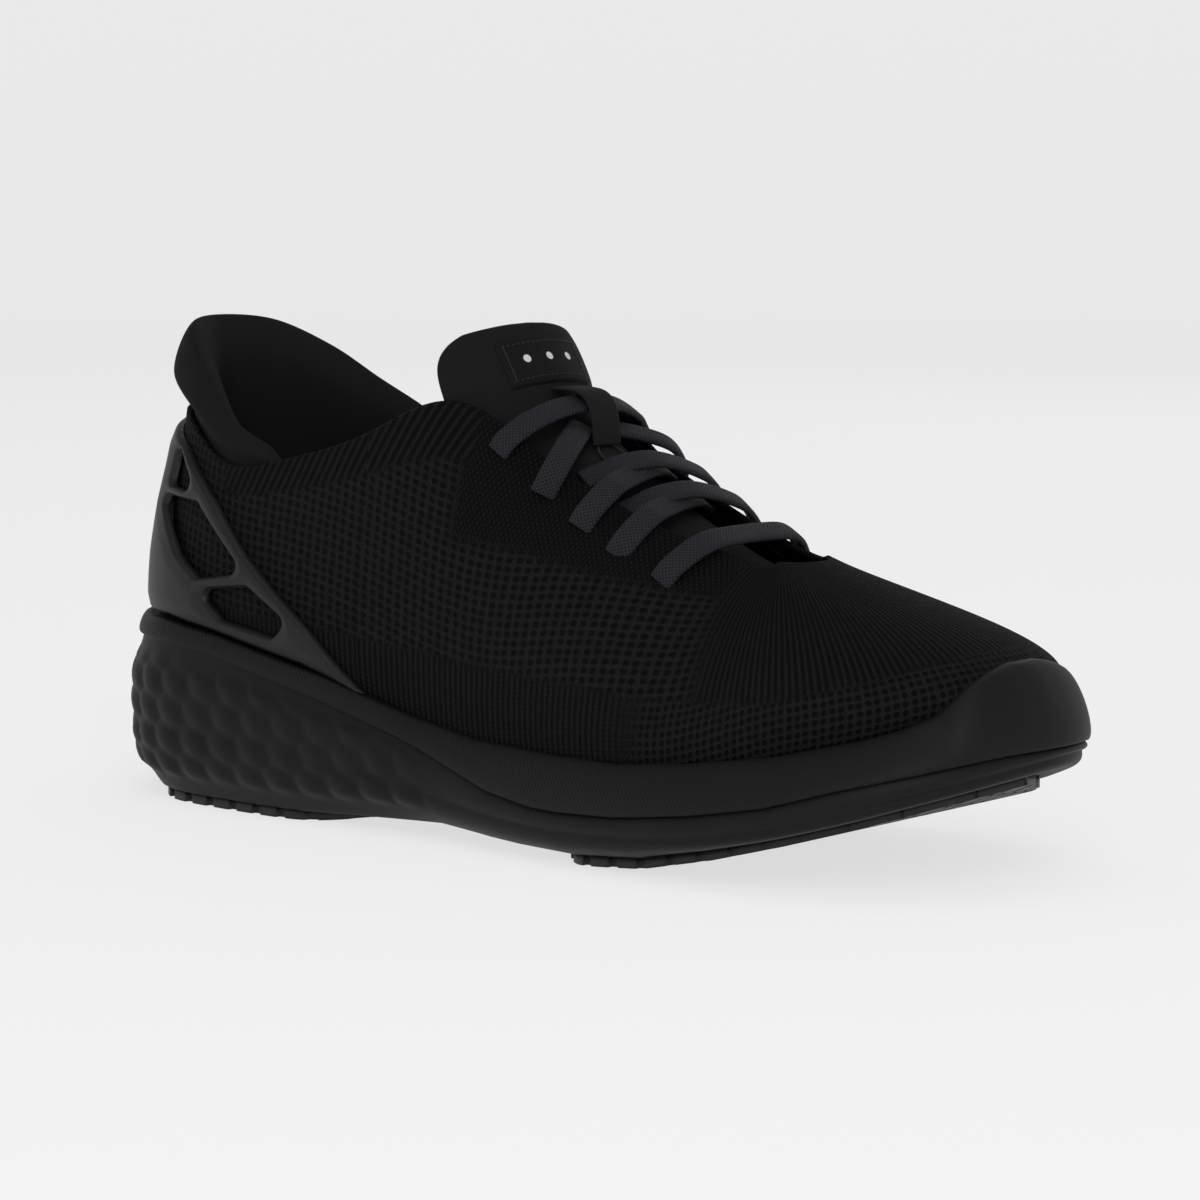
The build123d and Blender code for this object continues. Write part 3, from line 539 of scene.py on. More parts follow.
def midsole_mesh(material):
    """Across the bottom edge, up the side, round the crowned rim, over the lip and down inside."""
    u = np.linspace(0, RING_LENGTH, MIDSOLE_COLUMNS, endpoint=False)
    bottom, wide, crease, lip, out = sole_lines(u)
    middle = 0.5 * (wide + crease) + out * 0.8
    lower = quadratic(bottom, bottom * 0.35 + wide * 0.65 + out * 1.1 - [0, 0, 1.6], wide, SIDE_ROWS // 2)
    upper = quadratic(wide, middle, crease - out * 0.9, SIDE_ROWS // 2 + 1)[:, 1:]
    side = np.concatenate([lower, upper], 1)
    run = lengths(wide, 0)[:, None]
    run = np.minimum(run, run[-1] - run)
    x, z = side[..., 0], side[..., 2]
    rise, full = z - z[:, :1], z[:, -1:] - z[:, :1]
    mask = (1 - smooth_step(-30, -6, x + 0.5 * (z - 14))) * smooth_step(3, 7, rise) \
        * (1 - smooth_step(0.80, 0.93, rise / full))
    relief = np.maximum(scale_relief(run, rise), -0.35)
    side = side + outward(side) * (mask * SCALE_DEPTH * relief)[..., None]
    t = np.linspace(0, np.pi, BAND_ROWS)[None, :, None]
    chord = (lip - crease)[:, None]
    reach = np.linalg.norm(chord, axis=-1, keepdims=True)
    tilt = np.cross(np.cross(chord, out[:, None]), chord)
    tilt /= np.linalg.norm(tilt, axis=-1, keepdims=True)
    crown = np.minimum(0.16 * reach, 2.4)
    band = crease[:, None] + chord * (0.5 - 0.5 * np.cos(t)) + tilt * crown * np.sin(t) + 0.3 * out[:, None]
    up = np.array([0, 0, 1.0])
    inner = [(0.9, 0.1), (2.0, -0.6), (2.8, -2.5), (3.0, -8.0)]
    rim = np.stack([lip - out * a + up * b for a, b in inner], 1)
    under = np.stack([bottom - out * a for a in (6.0, 2.0)], 1)
    grid = np.concatenate([under, side, band, rim], 1)
    tall = lengths(grid, 1)
    across = np.repeat(lengths(wide, 0)[:, None], grid.shape[1], 1)
    rows = np.arange(grid.shape[1])[None]
    toe = smooth_step(118, 132, grid[..., 0])
    twill = ((rows > 2 + SIDE_ROWS) & (rows < grid.shape[1] - 3)) * (1 - toe)
    return closed_mesh("midsole_foam", grid, np.stack([across, tall], -1), material, wrap_u=True,
                       attributes={"twill": twill})


def moulded_foam():
    """EVA foam skin: satin, faintly grained, with a fine twill pressed into the rim."""
    made, tree, out = new_material("moulded_eva_foam_charcoal")
    uv = add(tree, "ShaderNodeUVMap", uv_map="surface_mm").outputs[0]
    parts = add(tree, "ShaderNodeSeparateXYZ", {0: uv}).outputs
    twill = add(tree, "ShaderNodeAttribute", attribute_name="twill").outputs["Fac"]
    slant = add(tree, "ShaderNodeMath", {0: parts[1], 1: 0.8, 2: parts[0]},
                operation="MULTIPLY_ADD").outputs[0]
    wave = add(tree, "ShaderNodeMath", {0: slant, 1: 2 * math.pi / 1.2}, operation="MULTIPLY").outputs[0]
    line = add(tree, "ShaderNodeMath", {0: wave}, operation="SINE").outputs[0]
    relief = add(tree, "ShaderNodeMath", {0: line, 1: twill}, operation="MULTIPLY").outputs[0]
    grain = add(tree, "ShaderNodeTexNoise", {"Vector": uv, "Scale": 2.5, "Detail": 4.0}).outputs[0]
    total = add(tree, "ShaderNodeMath", {0: relief, 1: 0.35, 2: grain}, operation="MULTIPLY_ADD").outputs[0]
    bump = add(tree, "ShaderNodeBump", {"Height": total, "Strength": 0.5, "Distance": 0.0002})
    shader = add(tree, "ShaderNodeBsdfPrincipled", {"Base Color": linear("#131314"), "Roughness": 0.55,
                                                    "Specular IOR Level": 0.14, "Normal": bump.outputs[0]})
    tree.links.new(shader.outputs[0], out.inputs[0])
    return made


midsole = midsole_mesh(moulded_foam())
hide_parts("midsole")
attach(midsole, "shoe_base")

# ---- Outsole ----
# Two carbon-rubber pads cemented under heel and ball, their edges notched and their faces cut with
# square lugs.
PADS = {"outsole_heel_pad": (-138, -46), "outsole_forefoot_pad": (16, 134)}
NOTCH_PITCH, NOTCH_DEPTH, PAD_INSET = 9.0, 1.4, 0.6
PAD_ROUND, PAD_COLUMNS, PAD_ROWS, EDGE_SAMPLES = 26, 520, 72, 2400


def plain(name, hexcode, roughness, specular):
    """Single-colour material with a fine grain in its bump."""
    made, tree, out = new_material(name)
    spot = add(tree, "ShaderNodeTexCoord").outputs["Object"]
    grain = add(tree, "ShaderNodeTexNoise", {"Vector": spot, "Scale": 1800.0, "Detail": 2.0}).outputs[0]
    bump = add(tree, "ShaderNodeBump", {"Height": grain, "Strength": 0.3, "Distance": 0.00015})
    shader = add(tree, "ShaderNodeBsdfPrincipled", {"Base Color": linear(hexcode), "Roughness": roughness,
                                                    "Specular IOR Level": specular, "Normal": bump.outputs[0]})
    tree.links.new(shader.outputs[0], out.inputs[0])
    return made


def square_wave(t, duty):
    """1 for the given share of each unit, else 0, with short ramps."""
    phase = np.mod(t, 1.0)
    return smooth_step(0.0, 0.06, phase) * (1 - smooth_step(duty, duty + 0.06, phase))


def outsole_pad(name, x0, x1, material):
    """Slab between the ground profile and the foam; rows run across, over and back."""
    u = np.linspace(0, RING_LENGTH, EDGE_SAMPLES)
    bottom = sole_lines(u)[0]
    half = np.argmax(bottom[:, 0])
    x = np.linspace(x0, x1, PAD_COLUMNS)
    y0 = np.interp(x, bottom[:half, 0], bottom[:half, 1])
    y1 = np.interp(x, bottom[half:, 0][::-1], bottom[half:, 1][::-1])
    past = ((np.abs(x - (x0 + x1) / 2) - (x1 - x0) / 2 + PAD_ROUND) / PAD_ROUND).clip(0, 1)
    ease = np.sqrt(np.clip(1 - past ** 2.4, 0.0004, 1))
    centre, width = (y0 + y1) / 2, (y1 - y0) / 2 * ease - PAD_INSET
    width = width - NOTCH_DEPTH * square_wave(x / NOTCH_PITCH, 0.32) * (width > 12)
    s = np.sin(np.linspace(-np.pi / 2, np.pi / 2, PAD_ROWS))
    y = centre[:, None] + width[:, None] * s
    ground = table(x, SOLE_BOTTOM)[:, None]
    xx = np.repeat(x[:, None], len(s), 1)
    groove = np.maximum(square_wave(xx / NOTCH_PITCH + 0.04 * y, 0.2), square_wave(y / 11.0 + 0.5, 0.16))
    top = np.stack([xx, y, np.broadcast_to(ground + RUBBER - 0.1, y.shape)], -1)
    face = np.stack([xx, y, ground + 1.1 * groove * (np.abs(s) < 0.995)], -1)
    grid = np.concatenate([top, face[:, ::-1]], 1)
    return closed_mesh(name, grid, grid[..., :2], material, wrap_v=True)


RUBBER_FINISH = plain("carbon_rubber_satin", "#161617", 0.55, 0.3)
for pad_name, (pad_start, pad_end) in PADS.items():
    outsole = outsole_pad(pad_name, pad_start, pad_end, RUBBER_FINISH)
    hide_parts(pad_name.removesuffix("_pad"))
    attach(outsole, "shoe_base")

# ---- Board, insole and eyelet tapes ----
# Parts inside the shoe, kept as the frame has them: stitched board, foam insole and its cloth, and
# the two eyelet tapes behind the lacing.
INSIDE = {"strobel_board": ("stitched_board_grey", "#1d1d1f"),
          "insole_foam": ("open_cell_foam_black", "#101011"),
          "insole_topcloth": ("insole_mesh_black", "#0a0a0b"),
          "eyestay_backing_outer": ("woven_tape_black", "#101011"),
          "eyestay_backing_inner": ("woven_tape_black_inner", "#101011")}
for node_name, (finish, colour) in INSIDE.items():
    inside_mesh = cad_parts[node_name].data
    inside_mesh.materials.clear()
    inside_mesh.materials.append(plain(finish, colour, 0.9, 0.1))

# ---- Toe puff and vamp lining ----
# A thin thermoplastic sheet fused behind the toe of the knit, and the mesh that lines the vamp.
TOE_TIP_U = RING_KNOTS[14]
# piece, reach either side of the tip, depths under the knit, span of its height, finish and colour
TOE_SHELLS = {"toe_puff": ("toe_puff_sheet", 62, (1.9, 2.5), (0.1, 0.6),
                           "thermoplastic_sheet_grey", "#1a1a1b"),
              "vamp_lining": ("vamp_lining_mesh", 105, (2.8, 3.5), (0.1, 0.8),
                              "lining_mesh_black", "#0a0a0b")}


def inner_shell(name, u0, u1, depths, span, material):
    """Closed sheet between two depths under the outside of the knit."""
    outside = upper_point(np.linspace(u0, u1, 160), np.linspace(*span, 30))
    normal = outward(outside)
    grid = np.concatenate([outside - normal * depths[0], (outside - normal * depths[1])[:, ::-1]], 1)
    return closed_mesh(name, grid, grid[..., ::2], material, wrap_v=True)


for node_name, (name, reach, depths, span, finish, colour) in TOE_SHELLS.items():
    toe_shell = inner_shell(name, TOE_TIP_U - reach, TOE_TIP_U + reach, depths, span,
                            plain(finish, colour, 0.9, 0.1))
    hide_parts(node_name)
    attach(toe_shell, "shoe_base")

# ---- Heel lining ----
# Smooth polyester cloth behind the heel knit, sewn to the lower edge of the collar pad.
LINING_DEPTHS, LINING_SPAN = (2.0, 2.9), (0.05, 0.62)
lining = inner_shell("heel_lining_cloth", INNER_JOINT - RING_LENGTH, OUTER_JOINT, LINING_DEPTHS, LINING_SPAN,
                     plain("lining_cloth_black", "#0a0a0b", 0.95, 0.08))
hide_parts("heel_lining")
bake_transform(lining)

# ---- Heel cage ----
# Springy moulded TPU cage round the heel: a crowned outer band and thin struts, bonded at its foot and
# standing clear of the knit at the back; it bends when the heel is trodden down.
CAGE_STANDOFF = [3.2, 2.8, 1.8, 0.8, 0.2, 0.1, 0.1, 0.1, 0.1]
STANDOFF_FADE = [(0, 1.0), (0.4, 0.86), (0.6, 0.62), (0.75, 0.25), (0.9, 0), (1, 0)]
CAGE_OUTLINE = [(-175, 49.0), (-175, 104), (-136, 102), (-112, 93), (-96, 81), (-82, 68), (-70, 59),
                (-58, 50.5), (-47, 41), (-38, 34.4), (-60, 41.0), (-95, 47.2), (-112, 49.4), (-125, 49.6)]
SIDE_WINDOWS = [[(-117, 93), (-119, 83.5), (-107, 83.2)],
                [(-121, 80), (-103.5, 80.6), (-84, 63.5), (-98, 60), (-110, 66)],
                [(-97, 56.5), (-80, 60.2), (-66, 50.6), (-68, 48.4), (-92, 51.8)]]
BACK_WINDOW = [(0, 78), (13, 53), (-13, 53)]
CAGE_WALL, CAGE_EDGE, CAGE_CROWN, WINDOW_ROUND = 2.0, 1.3, 0.7, 2.0
CAGE_COLUMNS, CAGE_ROWS = 620, 170


def polygon_distance(x, z, corners):
    """Signed distance to a polygon, negative inside: nearest edge, its sign from edge crossings."""
    corners = np.array(corners, float)
    near, crossings = np.full(x.shape, 1e9), np.zeros(x.shape, int)
    for (ax, az), (bx, bz) in zip(corners, np.roll(corners, -1, 0)):
        ex, ez = bx - ax, bz - az
        t = np.clip(((x - ax) * ex + (z - az) * ez) / (ex * ex + ez * ez), 0, 1)
        near = np.minimum(near, np.hypot(x - ax - t * ex, z - az - t * ez))
        spans = (az > z) != (bz > z)
        crossings += spans & (x < ax + ex * (z - az) / (ez if ez else 1))
    return np.where(crossings % 2 == 1, -near, near)


def shrunk(corners, inset):
    """Polygon moved towards its middle so that rounding by inset gives back its size."""
    corners = np.array(corners, float)
    middle = corners.mean(0)
    reach = np.linalg.norm(corners - middle, axis=1, keepdims=True)
    return middle + (corners - middle) * (1 - 1.4 * inset / reach)


def cage_field(points):
    """Negative where there is cage: inside the outline and outside every rounded window."""
    x, y, z = points[..., 0], points[..., 1], points[..., 2]
    field = polygon_distance(x, z, CAGE_OUTLINE)
    for corners in SIDE_WINDOWS:
        hole = polygon_distance(x, z, shrunk(corners, WINDOW_ROUND)) - WINDOW_ROUND
        field = np.maximum(field, np.where(np.abs(y) > 9, -hole, -9))
    hole = polygon_distance(y, z, shrunk(BACK_WINDOW, WINDOW_ROUND)) - WINDOW_ROUND
    return np.maximum(field, np.where(x < -125, -hole, -9))


def cage_mesh(material):
    """Cut a fine grid to the field's zero line, swell it outwards from that line and back it with its
    own inside."""
    lifts = np.array(CAGE_STANDOFF + [0.1] * (len(RING) - 2 * len(CAGE_STANDOFF) + 1) + CAGE_STANDOFF[:0:-1])
    u = np.linspace(RING_KNOTS[len(RING) - 6] - RING_LENGTH, RING_KNOTS[6], CAGE_COLUMNS)
    v = np.linspace(0.02, 0.99, CAGE_ROWS)
    skin = upper_point(u, v)
    normal = outward(skin)
    stand = closed_spline(RING_KNOTS, lifts[:, None], u) * np.interp(v, *zip(*STANDOFF_FADE))[None]
    base = skin + normal * (0.35 + np.maximum(stand, 0))[..., None]
    inside = cage_field(base) < 0
    keep = inside[:-1, :-1] | inside[1:, :-1] | inside[1:, 1:] | inside[:-1, 1:]
    touched = np.zeros(inside.shape, bool)
    for di, dj in ((0, 0), (1, 0), (1, 1), (0, 1)):
        touched[di:di + keep.shape[0], dj:dj + keep.shape[1]] |= keep
    for _ in range(4):
        field = cage_field(base)
        du, dv = np.gradient(base, axis=0), np.gradient(base, axis=1)
        fu, fv = np.gradient(field)
        lu, lv = (du ** 2).sum(-1), (dv ** 2).sum(-1)
        slope = du * (fu / lu)[..., None] + dv * (fv / lv)[..., None]
        size = np.maximum((slope ** 2).sum(-1), 0.2)
        base = base - slope * (np.where(touched & ~inside, field, 0) / size)[..., None]
    field = cage_field(base)
    depth = np.maximum(-field, 0) * inside
    edge = np.sqrt(np.clip(1 - (1 - np.minimum(depth / CAGE_EDGE, 1)) ** 2, 0, 1))
    crown = CAGE_CROWN * smooth_step(0, 5, depth)
    outer = base + normal * (CAGE_WALL * edge + crown)[..., None]
    nu, nv = inside.shape
    i, j = np.nonzero(keep)
    quads = np.stack([i * nv + j, (i + 1) * nv + j, (i + 1) * nv + j + 1, i * nv + j + 1], -1)
    front = outer.reshape(-1, 3)
    back = base.reshape(-1, 3)
    edges = np.concatenate([quads[:, [0, 1]], quads[:, [1, 2]], quads[:, [2, 3]], quads[:, [3, 0]]])
    key = np.sort(edges, 1)
    _, first, counts = np.unique(key[:, 0] * nu * nv + key[:, 1], return_index=True, return_counts=True)
    rim = edges[first[counts == 1]]
    walls = np.stack([rim[:, 1], rim[:, 0], rim[:, 0] + nu * nv, rim[:, 1] + nu * nv], -1)
    faces = np.concatenate([quads, quads[:, ::-1] + nu * nv, walls])
    used, packed = np.unique(faces, return_inverse=True)
    points = np.concatenate([front, back])[used] * 0.001
    made = raw_mesh("heel_cage_shell", points, packed.reshape(faces.shape), material)
    face_outwards(made)
    return made


cage = cage_mesh(plain("moulded_tpu_satin_black", "#0c0c0d", 0.5, 0.3))
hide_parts("heel_cage")
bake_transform(cage)

# ---- Collar pad ----
# Foam roll covered in smooth jersey, sewn to the knit's edge at the heel: it flares out at the back
# like a shoe horn, rolls over and runs down inside, and dives under the ribbed cuff at its ends.
COLLAR_BACK = [(34.6, 104.6), (39.8, 115), (34.5, 127.4), (27.4, 116), (30.2, 92), (34.4, 76)]
COLLAR_OUTER = {150: [(30.9, 103.1), (36.4, 113.6), (31.2, 125.0), (24.2, 114), (26.8, 92), (31.6, 76)],
                120: [(28.2, 97.8), (32.4, 106.4), (28.6, 115.5), (22.0, 106), (25.0, 88), (29.8, 76)],
                -95: [(29.5, 91.2), (31.0, 96), (27.8, 101.5), (23.2, 96), (25.0, 85), (30.8, 76)],
                -81: [(29.9, 88.4), (30.1, 92.8), (28.0, 94.8), (25.0, 90), (26.0, 83), (30.9, 77)]}
COLLAR_INNER = {150: [(30.9, 103.6), (36.4, 114.4), (31.2, 126.0), (24.2, 115), (26.8, 92), (31.4, 76)],
                120: [(28.9, 99.6), (33.2, 109), (29.2, 119.0), (22.6, 110), (25.0, 90), (29.6, 76)],
                -95: [(29.9, 95.2), (31.8, 101.5), (28.6, 110.5), (23.8, 103), (25.0, 87), (30.2, 76)],
                -76: [(30.2, 92.4), (30.8, 97.4), (28.4, 101.6), (25.0, 96.5), (26.0, 87), (30.6, 77)]}


def rounded_path(points, count, wrap=False):
    """Catmull-Rom curve through stacked points, count samples to a span."""
    ends = (2 * points[:1] - points[1:2], 2 * points[-1:] - points[-2:-1])
    if wrap:
        ends = (points[-1:], points[:2])
    padded = np.concatenate([ends[0], points, ends[1]])
    t = np.linspace(0, 1, count, endpoint=False).reshape((-1,) + (1,) * (points.ndim - 1))
    out = []
    for k in range(1, len(padded) - 2):
        a, b, c, d = padded[k - 1:k + 3]
        out.append(0.5 * (2 * b + (c - a) * t + (2 * a - 5 * b + 4 * c - d) * t ** 2
                          + (3 * b - a - 3 * c + d) * t ** 3))
    if not wrap:
        out.append(points[-1:])
    return np.concatenate(out)


def collar_mesh(material):
    """Closed roll through the stations, rounded both ways."""
    flat = {a: np.array(row).reshape(-1) for a, row in COLLAR_OUTER.items()}
    stations = [side_station(x, flat[x], -1) for x in (-81, -95)]
    stations += [lift(HEEL_CENTRE, -a, flat[a]) for a in (120, 150)]
    stations.append(lift(HEEL_CENTRE, 180, np.array(COLLAR_BACK).reshape(-1)))
    flat = {a: np.array(row).reshape(-1) for a, row in COLLAR_INNER.items()}
    stations += [lift(HEEL_CENTRE, a, flat[a]) for a in (150, 120)]
    stations += [side_station(x, flat[x], 1) for x in (-95, -76)]
    rows = np.array(stations)
    tips = []
    for k, way in ((0, 6.0), (-1, 9.0)):
        centre = rows[k].mean(0)
        tips.append((centre + (rows[k] - centre) * 0.45 + [way, 0, -3.0])[None])
    rows = np.concatenate([tips[0], rows, tips[1]])
    path = rounded_path(rows, 24)
    roll = rounded_path(path.transpose(1, 0, 2), 12, wrap=True).transpose(1, 0, 2)
    uv = np.stack([lengths(roll, 0), lengths(roll, 1)], -1)
    return closed_mesh("collar_pad", roll, uv, material, wrap_v=True)


collar = collar_mesh(plain("brushed_jersey_black", "#141415", 0.9, 0.12))
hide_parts("collar_cover", "collar_foam")
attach(collar, "heel_collar")

# ---- Tongue ----
# Padded jersey tongue sewn in at the toe end of the throat, its top edge rolled; the upper part swings
# forward when the foot goes in.
TONGUE = [(66.0, 68.0, 11, 2.5), (50.0, 74.0, 18, 7.0), (30.0, 83.6, 24, 12.0), (10.0, 96.0, 27, 15.5),
          (-2.5, 106.6, 26.5, 13.5), (-10.0, 117.6, 28.5, 11.0), (-14.6, 125.0, 27, 9.0),
          (-17.0, 129.2, 21, 5.5)]
TONGUE_THICK = 4.8
# station where the top edge starts to round, and how many stations the round takes
TONGUE_TOP, TONGUE_ROUND = 6.6, 0.4


def tongue_frames(s):
    """Centre, upward normal, half width and edge drop at stations s."""
    rows = np.array(TONGUE, float)
    steps = 40
    fine = rounded_path(rows, steps)
    line = np.arange(len(fine)) / steps
    row = np.stack([np.interp(s, line, fine[:, k]) for k in range(4)], -1)
    ahead = np.stack([np.interp(s + 0.1, line, fine[:, k]) for k in (0, 1)], -1)
    behind = np.stack([np.interp(s - 0.1, line, fine[:, k]) for k in (0, 1)], -1)
    along = (ahead - behind) / np.linalg.norm(ahead - behind, axis=-1, keepdims=True)
    zero = np.zeros_like(s)
    centre = np.stack([row[..., 0], zero, row[..., 1]], -1)
    normal = np.stack([along[..., 1], zero, -along[..., 0]], -1)
    return centre, normal, row[..., 2], row[..., 3]


def tongue_point(s, y, depth):
    """Point at y across the tongue, depth under its top face."""
    s, y, depth = np.broadcast_arrays(np.asarray(s, float), np.asarray(y, float), np.asarray(depth, float))
    centre, normal, half, drop = tongue_frames(s)
    side = np.zeros(centre.shape)
    side[..., 1] = y
    return centre + side - normal * (depth + drop * (y / half) ** 2)[..., None]


def tongue_mesh(material):
    """Flat pad with a rounded edge: the cross section is a superellipse of half width by thickness."""
    top_edge = TONGUE_TOP + TONGUE_ROUND * np.sin(np.linspace(0.05, 1, 24) * np.pi / 2)
    s = np.concatenate([np.linspace(0, TONGUE_TOP, 100), top_edge])
    turn = np.linspace(0, 2 * np.pi, 96, endpoint=False)
    wide = np.sign(np.cos(turn)) * np.abs(np.cos(turn)) ** 0.42
    thick = np.sign(np.sin(turn)) * np.abs(np.sin(turn)) ** 0.7
    half = tongue_frames(s)[2]
    end = np.sqrt(np.clip(1 - np.clip((s - TONGUE_TOP) / TONGUE_ROUND, 0, 0.999) ** 2, 0, 1))
    squeeze = end[:, None]
    y = half[:, None] * wide[None] * (1 - 0.1 * (1 - squeeze))
    depth = TONGUE_THICK / 2 * (1 - thick[None] * np.maximum(squeeze, 0.08))
    grid = tongue_point(s[:, None], y, depth)
    uv = np.stack([lengths(grid, 0), lengths(grid, 1)], -1)
    return closed_mesh("tongue_pad", grid, uv, material, wrap_v=True)


tongue = tongue_mesh(plain("tongue_jersey_black", "#161617", 0.9, 0.12))
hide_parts("tongue_shell", "tongue_foam", "tongue_lining")
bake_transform(tongue)

# ---- Tongue label ----
# Woven tape patch stitched round its edge to the tongue, with a plain row of pale dots.
LABEL_SPAN, LABEL_HALF, LABEL_RISE = (4.62, 5.88), 15.0, 0.9
DOT_PITCH, DOT_ROW = 4.0, 9.5
# millimetres of tongue to a station
STATION_MM = 10.5


def label_material():
    made, tree, out = new_material("woven_label_black_with_dots")
    uv = add(tree, "ShaderNodeUVMap", uv_map="surface_mm").outputs[0]
    parts = add(tree, "ShaderNodeSeparateXYZ", {0: uv}).outputs
    cell = add(tree, "ShaderNodeMath", {0: parts[0], 1: DOT_PITCH}, operation="PINGPONG").outputs[0]
    from_dot = add(tree, "ShaderNodeCombineXYZ", {0: cell, 1: parts[1]}).outputs[0]
    far = add(tree, "ShaderNodeVectorMath", {0: from_dot}, operation="LENGTH").outputs["Value"]
    dot = add(tree, "ShaderNodeMapRange", {0: far, 1: 1.05, 2: 1.25, 3: 1.0, 4: 0.0}).outputs[0]
    reach = add(tree, "ShaderNodeMath", {0: parts[0]}, operation="ABSOLUTE").outputs[0]
    inside = add(tree, "ShaderNodeMath", {0: reach, 1: DOT_ROW}, operation="LESS_THAN").outputs[0]
    mask = add(tree, "ShaderNodeMath", {0: dot, 1: inside}, operation="MULTIPLY").outputs[0]
    tone = add(tree, "ShaderNodeMix", {"Factor": mask, 6: linear("#0d0d0e"), 7: linear("#c8c8c8")},
               data_type="RGBA")
    weave = add(tree, "ShaderNodeTexChecker", {"Vector": uv, "Scale": 2.4}).outputs[1]
    bump = add(tree, "ShaderNodeBump", {"Height": weave, "Strength": 0.4, "Distance": 0.0001})
    shader = add(tree, "ShaderNodeBsdfPrincipled", {"Base Color": tone.outputs[2], "Roughness": 0.8,
                                                    "Specular IOR Level": 0.15, "Normal": bump.outputs[0]})
    tree.links.new(shader.outputs[0], out.inputs[0])
    return made


def patch(name, span, half, rise, material):
    """Thin patch on the tongue with a rolled edge; its UV is in millimetres from its middle."""
    s = np.linspace(*span, 30)
    y = np.linspace(-half, half, 60)
    edge = np.minimum(np.minimum(s - span[0], span[1] - s)[:, None] * STATION_MM, half - np.abs(y)[None])
    lift_up = rise * np.sqrt(np.clip(1 - (1 - np.clip(edge, 0, 0.8) / 0.8) ** 2, 0, 1))
    top = tongue_point(s[:, None], y[None], -lift_up)
    under = tongue_point(s[:, None], y[None], np.full((30, 60), 0.3))
    grid = np.concatenate([top, under[:, ::-1]], 1)
    down = (s - (span[0] + span[1]) / 2)[:, None] * STATION_MM
    uv_top = np.stack(np.broadcast_arrays(y[None], down), -1)
    return closed_mesh(name, grid, np.concatenate([uv_top, uv_top[:, ::-1]], 1), material, wrap_v=True)


def stitches(name, centres, aims, size, material):
    """Row of thread stitches: each a small ellipsoid along its aim, joined in one mesh."""
    turn, rise = np.meshgrid(np.linspace(0, 2 * np.pi, 8, endpoint=False), np.linspace(-1, 1, 7),
                             indexing="ij")
    ring = np.sqrt(np.clip(1 - rise ** 2, 0.02, 1))
    along, width, thick = size
    local = np.stack([rise * along, ring * np.cos(turn) * width, ring * np.sin(turn) * thick], -1)
    across = np.cross(aims, INSTEP)
    across /= np.linalg.norm(across, axis=-1, keepdims=True)
    over = np.cross(across, aims)
    basis = np.stack([aims, across, over], -2)
    points = centres[:, None, None] + np.einsum("ijk,nkl->nijl", local, basis)
    i, j = np.meshgrid(np.arange(8), np.arange(6), indexing="ij")
    left, right = i * 7 + j, (i + 1) % 8 * 7 + j
    one = np.stack([left, right, right + 1, left + 1], -1).reshape(-1, 4)
    ends = [np.arange(8) * 7 + k for k in (0, 6)]
    one = np.concatenate([one] + [strip_cap(e) for e in ends])
    faces = (one[None] + 56 * np.arange(len(centres))[:, None, None]).reshape(-1, 4)
    made = raw_mesh(name, points.reshape(-1, 3) * 0.001, faces, material)
    face_outwards(made)
    return made


def follow(path):
    """Unit direction of travel along a closed or open path."""
    aim = np.gradient(path, axis=0)
    return aim / np.linalg.norm(aim, axis=-1, keepdims=True)


INSTEP = np.array([0.52, 0, 0.854])
label = patch("tongue_label_patch", LABEL_SPAN, LABEL_HALF, LABEL_RISE, label_material())
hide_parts("tongue_label")
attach(label, "tongue_top")
frame_turn = np.linspace(0, 4, 68, endpoint=False)
box_y = np.interp(frame_turn, [0, 1, 2, 3, 4], [-13.6, 13.6, 13.6, -13.6, -13.6])
box_s = np.interp(frame_turn, [0, 1, 2, 3, 4], [4.76, 4.76, 5.74, 5.74, 4.76])
seam_path = tongue_point(box_s, box_y, -0.95)
THREAD = plain("polyester_thread_black", "#1c1c1e", 0.7, 0.3)
label_seam = stitches("label_stitching", seam_path, follow(seam_path), (0.6, 0.22, 0.2), THREAD)
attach(label_seam, "tongue_top")

# ---- Lace keeper ----
# Strip of the tongue's tape bar-tacked at both ends; the top of the lace runs through it.
KEEPER_SPAN, KEEPER_WIDTH, KEEPER_THICK = (3.15, 4.45), 11.0, 1.0
KEEPER_RISE = [0.8, 5.4, 7.6, 7.6, 5.4, 0.8]


def strap(name, path, ups, width, thick, material):
    """Flat band carried along a path: a rounded-rectangle section square to its travel."""
    aim = follow(path)
    across = np.cross(aim, ups)
    across /= np.linalg.norm(across, axis=-1, keepdims=True)
    over = np.cross(across, aim)
    turn = np.linspace(0, 2 * np.pi, 32, endpoint=False)
    wide = np.sign(np.cos(turn)) * np.abs(np.cos(turn)) ** 0.45 * width / 2
    tall = np.sign(np.sin(turn)) * np.abs(np.sin(turn)) ** 0.75 * thick / 2
    grid = path[:, None] + across[:, None] * wide[None, :, None] + over[:, None] * tall[None, :, None]
    run = np.repeat(lengths(path, 0)[:, None], 32, 1)
    uv = np.stack([run, np.broadcast_to(wide[None] + 50 * (tall < 0), run.shape)], -1)
    return closed_mesh(name, grid, uv, material, wrap_v=True)


